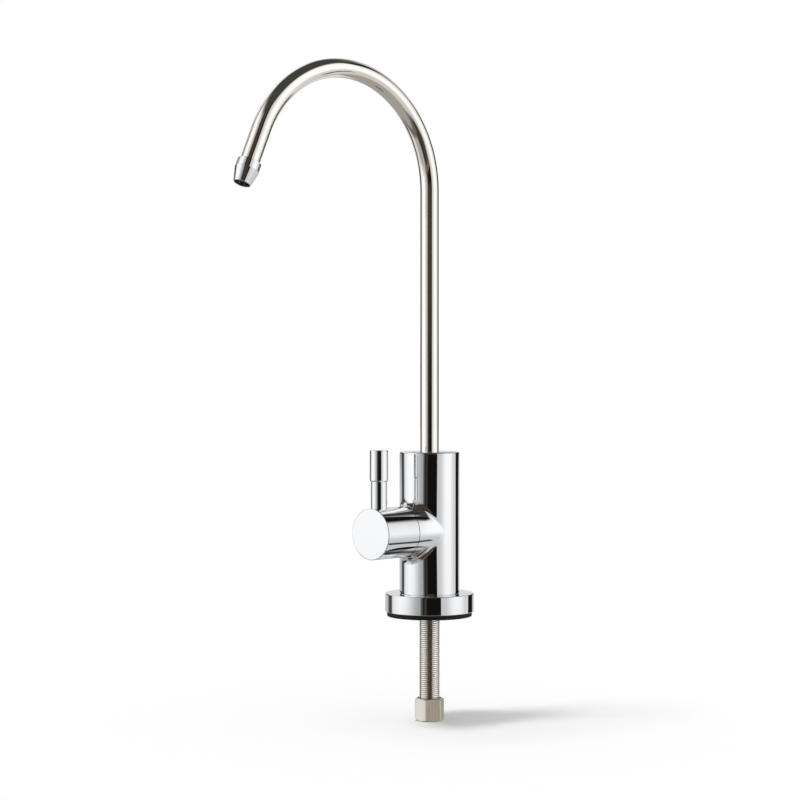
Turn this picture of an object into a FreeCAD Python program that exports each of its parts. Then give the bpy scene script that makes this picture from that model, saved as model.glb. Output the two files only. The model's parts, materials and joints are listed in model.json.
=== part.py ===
import FreeCAD, Part
import math
import os
import re

import Sketcher

# One-way drinking-water tap with a swivelling gooseneck spout and a quarter-turn lever valve.
# Frame: Z points up and is the axis of the body, the counter's surface is the plane z = 0, and
# the handle points towards -Y. The spout stands a few degrees beside it, as it is left after
# use. Lengths are millimetres, angles are degrees.

# Driving dimensions
SIZES = {
    # Gasket and flange
    "gasket_diameter": 46.0,
    "gasket_thickness": 2.5,
    "gasket_edge": 0.4,
    "flange_diameter": 48.0,
    "flange_thickness": 10.0,
    "flange_edge": 0.6,
    "flange_rim": 5.0,
    "flange_hub_wall": 3.2,
    "flange_web": 4.0,
    "shank_passage_gap": 0.25,
    # Threaded shank
    "shank_diameter": 11.11,
    "shank_below_counter": 50.0,
    "shank_bore": 5.0,
    "shank_socket_depth": 12.0,
    "shank_seal_thickness": 1.0,
    "thread_gap": 0.03,
    # Supply tube connection
    "supply_tube_diameter": 6.35,
    "supply_tube_gap": 0.075,
    "supply_socket_depth": 10.0,
    "supply_cone_depth": 1.15,
    "nut_across_flats": 14.29,
    "nut_height": 12.0,
    "nut_engagement": 5.5,
    "nut_floor": 2.5,
    "nut_corner_chamfer": 0.75,
    "nut_chamfer_inset": 0.1,
    "nut_turn": -1.0,
    "ferrule_wall": 1.25,
    "ferrule_chamfer": 0.5,
    "ferrule_lip": 0.15,
    "ferrule_gap": 0.1,
    # Body and boss
    "body_diameter": 32.4,
    "body_height": 76.5,
    "body_edge_round": 1.0,
    "body_foot_edge": 0.4,
    "handle_rise": 34.1,
    "boss_diameter": 27.2,
    "boss_reach": 22.0,
    "boss_root_depth": 3.24,
    "boss_root_inset": 0.12,
    "boss_blend": 4.5,
    # Waterways
    "inlet_drill": 4.0,
    "inlet_offset": 3.5,
    "outlet_drill": 4.0,
    "outlet_offset": 5.8,
    # Spout socket in the body
    "spout_socket_diameter": 16.0,
    "spout_socket_depth": 20.5,
    "spout_bush_diameter": 18.0,
    "spout_bush_length": 6.0,
    "spout_washer_thickness": 1.0,
    "running_gap": 0.05,
    # Spout
    "spout_tube_diameter": 10.0,
    "spout_tube_wall": 0.9,
    "spout_rise": 140.8,
    "spout_bend_radius": 60.2,
    "spout_bend_angle": 156.4,
    "spout_tail": 18.3,
    "spout_turn": -4.5,
    "spout_foot_floor": 3.0,
    "braze_gap": 0.02,
    "seal_section": 1.78,
    "seal_room": 0.13,
    "spout_seal_start": 4.0,
    "spout_seal_pitch": 7.0,
    # Nozzle
    "nozzle_collar_diameter": 12.3,
    "nozzle_collar_length": 4.4,
    "nozzle_tip_diameter": 12.6,
    "nozzle_tip_length": 7.8,
    "nozzle_lip_diameter": 9.0,
    "nozzle_mouth_diameter": 8.1,
    "nozzle_spigot_diameter": 9.8,
    "nozzle_spigot_length": 2.6,
    "nozzle_tube_grip": 3.0,
    "nozzle_seal_thickness": 0.8,
    "straightener_diameter": 9.1,
    "straightener_thickness": 1.6,
    "straightener_hole": 1.8,
    "straightener_circle": 5.4,
    # Cartridge chamber in the boss
    "chamber_floor": 1.0,
    "chamber_diameter": 15.0,
    "chamber_mouth_diameter": 17.0,
    "chamber_mouth_depth": 5.5,
    # Cartridge
    "cartridge_seal_thickness": 1.5,
    "cartridge_seal_width": 2.4,
    "disc_diameter": 11.7,
    "disc_thickness": 2.5,
    "disc_film": 0.02,
    "disc_port": 3.4,
    "disc_port_circle": 6.4,
    "disc_notch": 4.2,
    "housing_waist": 13.6,
    "housing_land": 1.6,
    "housing_window_width": 4.0,
    "housing_window_length": 3.4,
    "housing_flange_thickness": 1.5,
    "housing_seal_section": 1.3,
    "housing_seal_offset": 1.4,
    # Spindle, with the lug that stops it after a quarter turn
    "driver_thickness": 2.4,
    "stop_lug_angle": 30.0,
    "stop_lug_height": 0.75,
    "stop_lug_setback": 0.9,
    "stop_travel": 90.0,
    "stop_play": 1.5,
    "driver_tongue": 3.2,
    "driver_tongue_height": 1.0,
    "driver_tongue_inset": 0.6,
    "spindle_diameter": 7.9,
    "spindle_seal_section": 1.0,
    "spindle_seal_start": 1.0,
    "spindle_seal_pitch": 2.0,
    "spindle_square": 6.0,
    "spindle_journal_past_nut": 2.5,
    "spindle_reach": 18.5,
    "clip_thickness": 0.8,
    "clip_width": 1.6,
    "clip_groove": 0.6,
    "clip_opening": 3.2,
    "cartridge_nut_across_flats": 18.0,
    "cartridge_nut_head": 4.0,
    "cartridge_nut_bore": 8.8,
    "clip_room": 0.4,
    # Knob and lever
    "knob_seam": 0.4,
    "knob_diameter": 27.2,
    "knob_reach": 23.8,
    "knob_edge": 0.5,
    "knob_wall": 2.6,
    "knob_front_thickness": 12.2,
    "lever_setback": 6.5,
    "lever_pin_diameter": 8.7,
    "lever_pin_root": 8.0,
    "lever_pin_rise": 27.6,
    "lever_stud_diameter": 5.0,
    "lever_stud_length": 7.0,
    "lever_grip_diameter": 9.75,
    "lever_grip_foot_diameter": 9.95,
    "lever_grip_length": 16.5,
    "lever_grip_edge": 0.2,
    "lever_grip_foot_edge": 0.6,
    "fit_gap": 0.03,
    "grub_diameter": 4.0,
    "grub_length": 6.5,
    "grub_socket": 2.0,
    "grub_socket_depth": 2.4,
    "grub_setback": 9.0,
}

# Places worked out from the driving dimensions
PLACES = {
    "body_foot": "gasket_thickness + flange_thickness",
    "body_top": "body_foot + body_height",
    "body_radius": "body_diameter / 2",
    "handle_height": "body_foot + handle_rise",
    "shank_radius": "shank_diameter / 2",
    "shank_passage": "shank_radius + shank_passage_gap",
    "shank_socket_top": "body_foot + shank_socket_depth",
    "shank_top": "shank_socket_top - shank_seal_thickness",
    "supply_radius": "supply_tube_diameter / 2 + supply_tube_gap",
    "nut_top": "nut_engagement - shank_below_counter",
    "nut_foot": "nut_top - nut_height",
    "nut_ledge": "nut_foot + nut_floor",
    "nut_corner": "nut_across_flats / sqrt(3)",
    "ferrule_radius": "supply_radius + ferrule_wall",
    "ferrule_top": "supply_cone_depth - ferrule_gap - shank_below_counter",
    "ferrule_shoulder": "ferrule_top - ferrule_wall",
    "flange_rim_radius": "flange_diameter / 2 - flange_rim",
    "flange_hub_radius": "shank_passage + flange_hub_wall",
    "bush_foot": "body_top - spout_bush_length",
    "socket_floor": "bush_foot - spout_socket_depth",
    "socket_radius": "spout_socket_diameter / 2",
    "bush_radius": "spout_bush_diameter / 2",
    "sleeve_foot": "socket_floor + spout_washer_thickness + running_gap",
    "sleeve_top": "bush_foot - running_gap",
    "sleeve_radius": "socket_radius - running_gap",
    "tube_radius": "spout_tube_diameter / 2",
    "tube_bore": "tube_radius - spout_tube_wall",
    "tube_hole": "tube_radius + braze_gap",
    "tube_foot": "sleeve_foot + spout_foot_floor",
    "bend_height": "body_top + spout_rise",
    "bend_end_y": "spout_bend_radius * (cos(spout_bend_angle) - 1)",
    "bend_end_z": "bend_height + spout_bend_radius * sin(spout_bend_angle)",
    "tube_end_y": "bend_end_y - spout_tail * sin(spout_bend_angle)",
    "tube_end_z": "bend_end_z + spout_tail * cos(spout_bend_angle)",
    "groove_width": "seal_section + 2 * seal_room",
    "collar_foot": "0 - nozzle_collar_length",
    "spigot_foot": "collar_foot - nozzle_spigot_length",
    "spigot_radius": "nozzle_spigot_diameter / 2",
    "spigot_hole": "spigot_radius + fit_gap",
    "nozzle_ledge": "spigot_foot - nozzle_seal_thickness",
    "straightener_radius": "straightener_diameter / 2",
    "straightener_foot": "nozzle_ledge - straightener_thickness",
    "nozzle_foot": "collar_foot - nozzle_tip_length",
    "mouth_radius": "nozzle_mouth_diameter / 2",
    "boss_radius": "boss_diameter / 2",
    "boss_face": "0 - boss_reach",
    "boss_root": "0 - boss_root_depth",
    "boss_root_radius": "sqrt(body_radius * body_radius - boss_root * boss_root) - boss_root_inset",
    "boss_rise": "boss_root_radius - boss_radius",
    "boss_run": "boss_root - boss_face",
    "boss_flare": "(boss_run * boss_run + boss_rise * boss_rise) / (2 * boss_rise)",
    "floor_y": "0 - chamber_floor",
    "housing_back": "floor_y - cartridge_seal_thickness",
    "fixed_front": "housing_back - disc_thickness",
    "turning_back": "fixed_front - disc_film",
    "turning_front": "turning_back - disc_thickness",
    "driver_front": "turning_front - driver_thickness",
    "housing_neck": "driver_front - running_gap",
    "waist_back": "housing_back - housing_land",
    "housing_seal_place": "housing_neck - housing_seal_offset",
    "stop_lug_back": "turning_front - stop_lug_setback",
    "stop_lug_radius": "disc_radius + stop_lug_height",
    "stop_window_angle": "stop_travel + stop_lug_angle + 2 * stop_play",
    "mouth_step": "boss_face + chamber_mouth_depth",
    "housing_front": "mouth_step - housing_flange_thickness",
    "chamber_radius": "chamber_diameter / 2",
    "mouth_chamber_radius": "chamber_mouth_diameter / 2",
    "barrel_radius": "chamber_radius - running_gap",
    "disc_radius": "disc_diameter / 2",
    "disc_bore": "disc_radius + running_gap",
    "spindle_radius": "spindle_diameter / 2",
    "spindle_bore": "spindle_radius + running_gap",
    "clip_back": "housing_front - running_gap",
    "clip_front": "clip_back - clip_thickness",
    "nut_recess": "clip_front - clip_room",
    "cartridge_nut_front": "boss_face - cartridge_nut_head",
    "cartridge_nut_corner": "cartridge_nut_across_flats / sqrt(3)",
    "spindle_shoulder": "cartridge_nut_front - spindle_journal_past_nut",
    "spindle_end": "boss_face - spindle_reach",
    "knob_back": "boss_face - knob_seam",
    "knob_front": "boss_face - knob_reach",
    "knob_hollow_front": "knob_front + knob_front_thickness",
    "knob_radius": "knob_diameter / 2",
    "knob_hollow_radius": "knob_radius - knob_wall",
    "lever_y": "knob_front + lever_setback",
    "lever_stud_top": "lever_pin_rise + lever_stud_length",
    "grip_radius": "lever_grip_diameter / 2",
    "grip_foot_radius": "lever_grip_foot_diameter / 2",
    "grip_top": "lever_pin_rise + lever_grip_length",
    "grub_y": "knob_front + grub_setback",
    "square_half": "spindle_square / 2",
}

doc = FreeCAD.newDocument("DrinkingWaterTap")
sheet = doc.addObject("Spreadsheet::Sheet", "Sizes")
for row, (name, size) in enumerate(SIZES.items(), start=1):
    sheet.set("A%d" % row, name)
    sheet.set("B%d" % row, str(size))
    sheet.setAlias("B%d" % row, name)
doc.recompute()


def bound(formula):
    """Write a formula in size and place names as an expression on the sheet's cells."""

    def swap(match):
        word = match.group(0)
        if word in PLACES:
            return "(" + bound(PLACES[word]) + ")"
        if word in SIZES:
            return "Sizes." + word
        return word

    return re.sub(r"[a-z_]+", swap, formula)


def value(formula):
    """The number that a formula gives with the sheet's present sizes."""
    return float(sheet.evalExpression(bound(formula)))


def new_body(label):
    body = doc.addObject("PartDesign::Body", label)
    body.Label = label
    return body


def new_sketch(body, plane, shift=("0", "0", "0")):
    """Sketch on one of the body's own origin planes, its origin shifted in the sketch's frame."""
    sketch = body.newObject("Sketcher::SketchObject", body.Name + "_sketch")
    faces = [item for item in body.Origin.OriginFeatures if item.Role == plane]
    sketch.AttachmentSupport = [(faces[0], "")]
    sketch.MapMode = "FlatFace"
    for axis, formula in zip("xyz", shift):
        sketch.setExpression("AttachmentOffset.Base." + axis, bound(formula))
    return sketch


def pin_point(sketch, geometry, point, u, v):
    """Fix a point of the sketch at formulas for its two coordinates."""
    for kind, formula in (("DistanceX", u), ("DistanceY", v)):
        rule = Sketcher.Constraint(kind, -1, 1, geometry, point, value(formula))
        index = sketch.addConstraint(rule)
        sketch.setExpression("Constraints[%d]" % index, bound(formula))


def add_outline(sketch, corners):
    """Closed outline of straight lines through corners given as formulas."""
    points = [FreeCAD.Vector(value(u), value(v), 0) for u, v in corners]
    following = points[1:] + points[:1]
    lines = [sketch.addGeometry(Part.LineSegment(a, b)) for a, b in zip(points, following)]
    for line, after in zip(lines, lines[1:] + lines[:1]):
        sketch.addConstraint(Sketcher.Constraint("Coincident", line, 2, after, 1))
    for line, (u, v) in zip(lines, corners):
        pin_point(sketch, line, 1, u, v)


def add_circle(sketch, u, v, diameter):
    centre = FreeCAD.Vector(value(u), value(v), 0)
    up = FreeCAD.Vector(0, 0, 1)
    circle = sketch.addGeometry(Part.Circle(centre, up, value(diameter) / 2))
    pin_point(sketch, circle, 3, u, v)
    rule = Sketcher.Constraint("Diameter", circle, value(diameter))
    index = sketch.addConstraint(rule)
    sketch.setExpression("Constraints[%d]" % index, bound(diameter))


def finish_feature(body, feature, removes):
    """Recompute, and compare the volume so that a cut that misses or an empty pad is caught."""
    before = 0.0
    if body.Tip is not None and body.Tip != feature:
        before = body.Tip.Shape.Volume
    if feature.BaseFeature is not None:
        before = feature.BaseFeature.Shape.Volume
    doc.recompute()
    change = feature.Shape.Volume - before
    if (removes and change > -1e-4) or (not removes and change < 1e-4):
        raise RuntimeError("%s of %s changed the volume by %g" % (feature.Name, body.Label, change))
    return feature


def turned(body, corners, axis="V_Axis", shift=("0", "0", "0"), cut=False, angle=None):
    """Turn an outline in the plane of symmetry about an axis of its sketch, to add or to cut.

    With an angle, half of it goes to each side of the plane. Otherwise it is a full turn.
    """
    sketch = new_sketch(body, "YZ_Plane", shift)
    add_outline(sketch, corners)
    kind = "PartDesign::Groove" if cut else "PartDesign::Revolution"
    feature = body.newObject(kind, body.Name + ("_groove" if cut else "_turning"))
    feature.Profile = sketch
    feature.ReferenceAxis = (sketch, [axis])
    if angle is None:
        feature.Angle = 360
    else:
        feature.Midplane = True
        feature.setExpression("Angle", bound(angle))
    return finish_feature(body, feature, cut)


def raised(body, sketch, length, backwards=False, both_ways=False):
    """Pad a sketch by a formula's length."""
    feature = body.newObject("PartDesign::Pad", body.Name + "_pad")
    feature.Profile = sketch
    feature.setExpression("Length", bound(length))
    feature.Reversed = backwards
    feature.Midplane = both_ways
    return finish_feature(body, feature, False)


def sunk(body, sketch, length, backwards=False, both_ways=False):
    """Pocket a sketch by a formula's depth, against the sketch's normal unless backwards."""
    feature = body.newObject("PartDesign::Pocket", body.Name + "_pocket")
    feature.Profile = sketch
    feature.setExpression("Length", bound(length))
    feature.Reversed = backwards
    feature.Midplane = both_ways
    return finish_feature(body, feature, True)


def repeated(body, feature, axis_role, count):
    """Repeat a feature round an origin axis of its body."""
    pattern = body.newObject("PartDesign::PolarPattern", body.Name + "_pattern")
    pattern.Originals = [feature]
    axes = [item for item in body.Origin.OriginFeatures if item.Role == axis_role]
    pattern.Axis = (axes[0], [""])
    pattern.Angle = 360
    pattern.Occurrences = count
    body.Tip = pattern
    doc.recompute()
    return pattern


def edges_where(feature, test):
    return ["Edge%d" % (k + 1) for k, edge in enumerate(feature.Shape.Edges) if test(edge)]


def is_circle(edge, radius, axis, level):
    """True for a full circle of this radius whose centre is at a level along one axis."""
    curve = edge.Curve
    if curve.TypeId != "Part::GeomCircle":
        return False
    centre = getattr(curve.Center, axis)
    return abs(curve.Radius - value(radius)) < 1e-4 and abs(centre - value(level)) < 1e-4


def dressed(body, base, kind, size, formula, test):
    """Fillet or chamfer the edges of a feature that pass a test."""
    names = edges_where(base, test)
    if not names:
        raise RuntimeError("no edge to dress on " + body.Label)
    feature = body.newObject("PartDesign::" + kind, body.Name + "_" + kind.lower())
    feature.Base = (base, names)
    feature.setExpression(size, bound(formula))
    doc.recompute()
    return feature


def hexagon(body, corner, turn, plane, shift):
    """Sketch a hexagon with its corners at one radius and its first corner turned by an angle."""
    sketch = new_sketch(body, plane, shift)
    corners = []
    for k in range(6):
        angle = "(%s + %d)" % (turn, 60 * k)
        corners.append(("%s * cos%s" % (corner, angle), "%s * sin%s" % (corner, angle)))
    add_outline(sketch, corners)
    return sketch


def ring_corners(inner, outer, low, high):
    """Corners of a ring's section in a sketch whose first coordinate is the radius."""
    return [(inner, low), (outer, low), (outer, high), (inner, high)]


def block_corners(half_width, low, high):
    """Corners of a rectangle centred on its sketch's upright axis."""
    left = "0 - (%s)" % half_width
    return [(left, low), (half_width, low), (half_width, high), (left, high)]


def square_corners(half):
    return block_corners(half, "0 - (%s)" % half, half)


def along(corners):
    """Swap radius and height, for a sketch whose first coordinate runs along the axis."""
    return [(level, radius) for radius, level in corners]


def on_handle_axis(body):
    """Place a body whose own Y axis is the handle's axis."""
    body.setExpression("Placement.Base.z", bound("handle_height"))


def on_lever_axis(body):
    """Place a body whose own Z axis is the lever's axis."""
    body.setExpression("Placement.Base.y", bound("lever_y"))
    body.setExpression("Placement.Base.z", bound("handle_height"))


def swivel():
    """Expression of the placement that turns a body to the direction of the spout."""
    turn = "placement(vector(0; 0; 0); rotation(vector(0; 0; 1); %s))"
    return turn % bound("spout_turn")


def on_tube_end(body):
    """Place a body whose own Z axis points back up the straight end of the spout."""
    formula = "%s * placement(vector(0; %s; %s); rotation(vector(1; 0; 0); %s))"
    place = (bound("tube_end_y"), bound("tube_end_z"), bound("spout_bend_angle - 180"))
    body.setExpression("Placement", formula % (swivel(), *place))


def o_rings(label, section, radius, levels, along_handle=False):
    """Rings of round section, one for each level along their axis, as one sub-part."""
    rings = []
    for level in levels:
        ring = doc.addObject("Part::Torus", label + "_ring")
        ring.setExpression("Radius1", bound(radius))
        ring.setExpression("Radius2", bound(section) + " / 2")
        if along_handle:
            turn = "rotation(vector(1; 0; 0); 90)"
            centre = "vector(0; %s; %s)" % (bound(level), bound("handle_height"))
            ring.setExpression("Placement", "placement(%s; %s)" % (centre, turn))
        else:
            ring.setExpression("Placement.Base.z", bound(level))
        rings.append(ring)
    group = doc.addObject("Part::Compound", label)
    group.Label = label
    group.Links = rings
    doc.recompute()
    return group


def flared_boss(body):
    """Turn the boss, whose side is an arc that widens from its face to just inside the body."""
    sketch = new_sketch(body, "YZ_Plane", ("0", "handle_height", "0"))
    corners = [
        ("boss_root", "0"),
        ("boss_face", "0"),
        ("boss_face", "boss_radius"),
    ]
    points = [FreeCAD.Vector(value(u), value(v), 0) for u, v in corners]
    lines = [sketch.addGeometry(Part.LineSegment(a, b)) for a, b in zip(points, points[1:])]
    flare = value("boss_flare")
    centre = points[2] + FreeCAD.Vector(0, flare, 0)
    circle = Part.Circle(centre, FreeCAD.Vector(0, 0, 1), flare)
    turn = math.asin(value("boss_run") / flare)
    arc = sketch.addGeometry(Part.ArcOfCircle(circle, -math.pi / 2, turn - math.pi / 2))
    root = FreeCAD.Vector(value("boss_root"), value("boss_root_radius"), 0)
    back = sketch.addGeometry(Part.LineSegment(root, points[0]))
    for line, (u, v) in zip(lines, corners):
        pin_point(sketch, line, 1, u, v)
    pin_point(sketch, lines[1], 2, *corners[2])
    pin_point(sketch, arc, 3, "boss_face", "boss_radius + boss_flare")
    chain = lines + [arc, back]
    for piece, after in zip(chain, chain[1:] + chain[:1]):
        sketch.addConstraint(Sketcher.Constraint("Coincident", piece, 2, after, 1))
    rule = Sketcher.Constraint("DistanceX", -1, 1, back, 1, value("boss_root"))
    index = sketch.addConstraint(rule)
    sketch.setExpression("Constraints[%d]" % index, bound("boss_root"))
    feature = body.newObject("PartDesign::Revolution", "boss_turning")
    feature.Profile = sketch
    feature.ReferenceAxis = (sketch, ["H_Axis"])
    feature.Angle = 360
    return finish_feature(body, feature, False)


def valve_body():
    """Upright cylinder with the flared boss, its waterways, sockets and cartridge chamber."""
    body = new_body("valve_body")
    turned(body, ring_corners("0", "body_radius", "body_foot", "body_top"))
    boss = flared_boss(body)
    blend = dressed(
        body, boss, "Fillet", "Radius", "boss_blend",
        lambda edge: edge.Curve.TypeId not in ("Part::GeomCircle", "Part::GeomLine"),
    )
    dressed(
        body, blend, "Fillet", "Radius", "body_edge_round",
        lambda edge: is_circle(edge, "body_radius", "z", "body_top"),
    )
    dressed(
        body, body.Tip, "Chamfer", "Size", "body_foot_edge",
        lambda edge: is_circle(edge, "body_radius", "z", "body_foot"),
    )
    shank_hole = "shank_radius + thread_gap"
    turned(body, ring_corners("0", shank_hole, "body_foot", "shank_socket_top"), cut=True)
    spout_socket = [
        ("0", "socket_floor"),
        ("socket_radius", "socket_floor"),
        ("socket_radius", "bush_foot"),
        ("bush_radius + thread_gap", "bush_foot"),
        ("bush_radius + thread_gap", "body_top"),
        ("0", "body_top"),
    ]
    turned(body, spout_socket, cut=True)
    chamber = [
        ("0", "floor_y"),
        ("chamber_radius", "floor_y"),
        ("chamber_radius", "mouth_step"),
        ("mouth_chamber_radius + thread_gap", "mouth_step"),
        ("mouth_chamber_radius + thread_gap", "boss_face"),
        ("0", "boss_face"),
    ]
    turned(body, along(chamber), "H_Axis", shift=("0", "handle_height", "0"), cut=True)
    inlet_top = "handle_height + inlet_drill / 2"
    inlet = ring_corners("0", "inlet_drill / 2", "shank_socket_top", inlet_top)
    turned(body, inlet, shift=("inlet_offset", "0", "0"), cut=True)
    port = ring_corners("0", "inlet_drill / 2", "floor_y", "inlet_offset")
    turned(body, along(port), "H_Axis", shift=("0", "handle_height", "0"), cut=True)
    outlet_foot = "handle_height + chamber_radius - outlet_drill / 2"
    outlet = ring_corners("0", "outlet_drill / 2", outlet_foot, "socket_floor")
    turned(body, outlet, shift=("0 - outlet_offset", "0", "0"), cut=True)
    return body


def base_flange():
    """Turned flange, hollow underneath between its rim and the hub round the shank."""
    body = new_body("base_flange")
    flange_radius = "flange_diameter / 2"
    recess_top = "body_foot - flange_web"
    section = [
        ("shank_passage", "gasket_thickness"),
        ("flange_hub_radius", "gasket_thickness"),
        ("flange_hub_radius", recess_top),
        ("flange_rim_radius", recess_top),
        ("flange_rim_radius", "gasket_thickness"),
        (flange_radius, "gasket_thickness"),
        (flange_radius, "body_foot"),
        ("shank_passage", "body_foot"),
    ]
    plate = turned(body, section)
    dressed(
        body, plate, "Fillet", "Radius", "flange_edge",
        lambda edge: is_circle(edge, flange_radius, "z", "body_foot"),
    )
    return body


def base_gasket():
    """Flat rubber ring with rounded outer edges."""
    body = new_body("base_gasket")
    outer = "gasket_diameter / 2"
    ring = turned(body, ring_corners("shank_passage", outer, "0", "gasket_thickness"))
    dressed(
        body, ring, "Fillet", "Radius", "gasket_edge",
        lambda edge: is_circle(edge, outer, "z", "0"),
    )
    return body


def threaded_shank():
    """Hollow rod, with the supply tube's socket and its cone at the lower end."""
    body = new_body("threaded_shank")
    foot = "0 - shank_below_counter"
    section = [
        ("shank_bore / 2", "shank_top"),
        ("shank_bore / 2", "supply_socket_depth - shank_below_counter"),
        ("supply_radius", "supply_socket_depth - shank_below_counter"),
        ("supply_radius", "supply_cone_depth - shank_below_counter"),
        ("supply_radius + supply_cone_depth", foot),
        ("shank_radius", foot),
        ("shank_radius", "shank_top"),
    ]
    turned(body, section)
    return body


def shank_seal():
    """Flat sealing ring between the shank's end and the floor of the body's socket."""
    body = new_body("shank_seal")
    turned(body, ring_corners("shank_bore / 2", "shank_radius", "shank_top", "shank_socket_top"))
    return body


def compression_nut():
    """Hexagon nut with chamfered corners at both ends and a floor that holds the ferrule."""
    body = new_body("compression_nut")
    sketch = hexagon(body, "nut_corner", "nut_turn", "XY_Plane", ("0", "0", "nut_foot"))
    raised(body, sketch, "nut_height")
    thread_hole = "shank_radius + thread_gap"
    hole = [
        ("0", "nut_foot"),
        ("supply_radius", "nut_foot"),
        ("supply_radius", "nut_ledge"),
        (thread_hole, "nut_ledge"),
        (thread_hole, "nut_top"),
        ("0", "nut_top"),
    ]
    turned(body, hole, cut=True)
    beyond = "nut_corner + nut_corner_chamfer"
    flat = "nut_across_flats / 2 - nut_chamfer_inset"
    for level, inward in (("nut_top", "-"), ("nut_foot", "+")):
        edge = "%s %s nut_corner_chamfer" % (level, inward)
        corner = [(flat, level), (beyond, level), (beyond, edge), ("nut_corner", edge)]
        turned(body, corner, cut=True)
    return body


def compression_ferrule():
    """Brass ring on the supply tube, coned towards the mouth of the shank."""
    body = new_body("compression_ferrule")
    section = [
        ("supply_radius", "nut_ledge"),
        ("ferrule_radius - ferrule_chamfer", "nut_ledge"),
        ("ferrule_radius", "nut_ledge + ferrule_chamfer"),
        ("ferrule_radius", "ferrule_shoulder"),
        ("supply_radius + ferrule_lip", "ferrule_top - ferrule_lip"),
        ("supply_radius", "ferrule_top - ferrule_lip"),
    ]
    turned(body, section)
    return body


def spout_tube():
    """Gooseneck: straight rise, one large bend and a straight end that reaches into the nozzle."""
    body = new_body("spout_tube")
    path = new_sketch(body, "YZ_Plane")
    foot = FreeCAD.Vector(0, value("tube_foot"), 0)
    start = FreeCAD.Vector(0, value("bend_height"), 0)
    centre = FreeCAD.Vector(-value("spout_bend_radius"), value("bend_height"), 0)
    angle = math.radians(value("spout_bend_angle"))
    circle = Part.Circle(centre, FreeCAD.Vector(0, 0, 1), value("spout_bend_radius"))
    rise = path.addGeometry(Part.LineSegment(foot, start))
    bend = path.addGeometry(Part.ArcOfCircle(circle, 0, angle))
    end_y = "tube_end_y - nozzle_tube_grip * sin(spout_bend_angle)"
    end_z = "tube_end_z + nozzle_tube_grip * cos(spout_bend_angle)"
    bend_end = FreeCAD.Vector(value("bend_end_y"), value("bend_end_z"), 0)
    end = FreeCAD.Vector(value(end_y), value(end_z), 0)
    tail = path.addGeometry(Part.LineSegment(bend_end, end))
    pin_point(path, rise, 1, "0", "tube_foot")
    pin_point(path, rise, 2, "0", "bend_height")
    pin_point(path, bend, 3, "0 - spout_bend_radius", "bend_height")
    path.addConstraint(Sketcher.Constraint("Coincident", rise, 2, bend, 1))
    path.addConstraint(Sketcher.Constraint("Coincident", bend, 2, tail, 1))
    rule = Sketcher.Constraint("DistanceY", -1, 1, tail, 1, value("bend_end_z"))
    index = path.addConstraint(rule)
    path.setExpression("Constraints[%d]" % index, bound("bend_end_z"))
    pin_point(path, tail, 2, end_y, end_z)
    section = new_sketch(body, "XY_Plane", ("0", "0", "tube_foot"))
    add_circle(section, "0", "0", "spout_tube_diameter")
    add_circle(section, "0", "0", "2 * tube_bore")
    pipe = body.newObject("PartDesign::AdditivePipe", "spout_tube_pipe")
    pipe.Profile = section
    pipe.Spine = (path, ["Edge1", "Edge2", "Edge3"])
    body.setExpression("Placement", swivel())
    doc.recompute()
    return body


def spout_sleeve():
    """Brass foot of the spout, with two seal grooves and the shelf that the tube stands on."""
    body = new_body("spout_sleeve")
    section = [
        ("tube_bore", "sleeve_foot"),
        ("sleeve_radius", "sleeve_foot"),
        ("sleeve_radius", "sleeve_top"),
        ("tube_hole", "sleeve_top"),
        ("tube_hole", "tube_foot"),
        ("tube_bore", "tube_foot"),
    ]
    turned(body, section)
    for place in spout_seal_places():
        low = "%s - groove_width / 2" % place
        high = "%s + groove_width / 2" % place
        groove = ring_corners("sleeve_radius - seal_section", "socket_radius", low, high)
        turned(body, groove, cut=True)
    return body


def spout_seal_places():
    first = "sleeve_foot + spout_seal_start"
    return [first, first + " + spout_seal_pitch"]


def spout_o_rings():
    """Two rings in the grooves of the spout's foot."""
    radius = "(sleeve_radius - seal_section / 2)"
    return o_rings("spout_o_rings", "seal_section", radius, spout_seal_places())


def spout_washer():
    """Low-friction ring on the floor of the spout's socket."""
    body = new_body("spout_washer")
    top = "socket_floor + spout_washer_thickness"
    turned(body, ring_corners("tube_bore", "sleeve_radius", "socket_floor", top))
    return body


def spout_bush():
    """Threaded ring, flush with the top of the body, that guides the tube and keeps its foot in."""
    body = new_body("spout_bush")
    turned(body, ring_corners("tube_radius + running_gap", "bush_radius", "bush_foot", "body_top"))
    return body


def nozzle_collar():
    """Ring on the end of the tube, with the threaded spigot that the tip screws on."""
    body = new_body("nozzle_collar")
    outer = "nozzle_collar_diameter / 2"
    section = [
        ("tube_hole", "0"),
        (outer, "0"),
        (outer, "collar_foot"),
        ("spigot_radius", "collar_foot"),
        ("spigot_radius", "spigot_foot"),
        ("tube_bore", "spigot_foot"),
        ("tube_bore", "0 - nozzle_tube_grip"),
        ("tube_hole", "0 - nozzle_tube_grip"),
    ]
    turned(body, section)
    on_tube_end(body)
    return body


def nozzle_tip():
    """Tapered end with the seat of the flow straightener and the open mouth."""
    body = new_body("nozzle_tip")
    section = [
        ("spigot_hole", "collar_foot"),
        ("nozzle_tip_diameter / 2", "collar_foot"),
        ("nozzle_lip_diameter / 2", "nozzle_foot"),
        ("mouth_radius", "nozzle_foot"),
        ("mouth_radius", "straightener_foot"),
        ("straightener_radius + fit_gap", "straightener_foot"),
        ("straightener_radius + fit_gap", "nozzle_ledge"),
        ("spigot_hole", "nozzle_ledge"),
    ]
    turned(body, section)
    on_tube_end(body)
    return body


def nozzle_seal():
    """Flat ring between the collar's spigot and the flow straightener."""
    body = new_body("nozzle_seal")
    turned(body, ring_corners("tube_bore", "spigot_radius", "nozzle_ledge", "spigot_foot"))
    on_tube_end(body)
    return body


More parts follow.
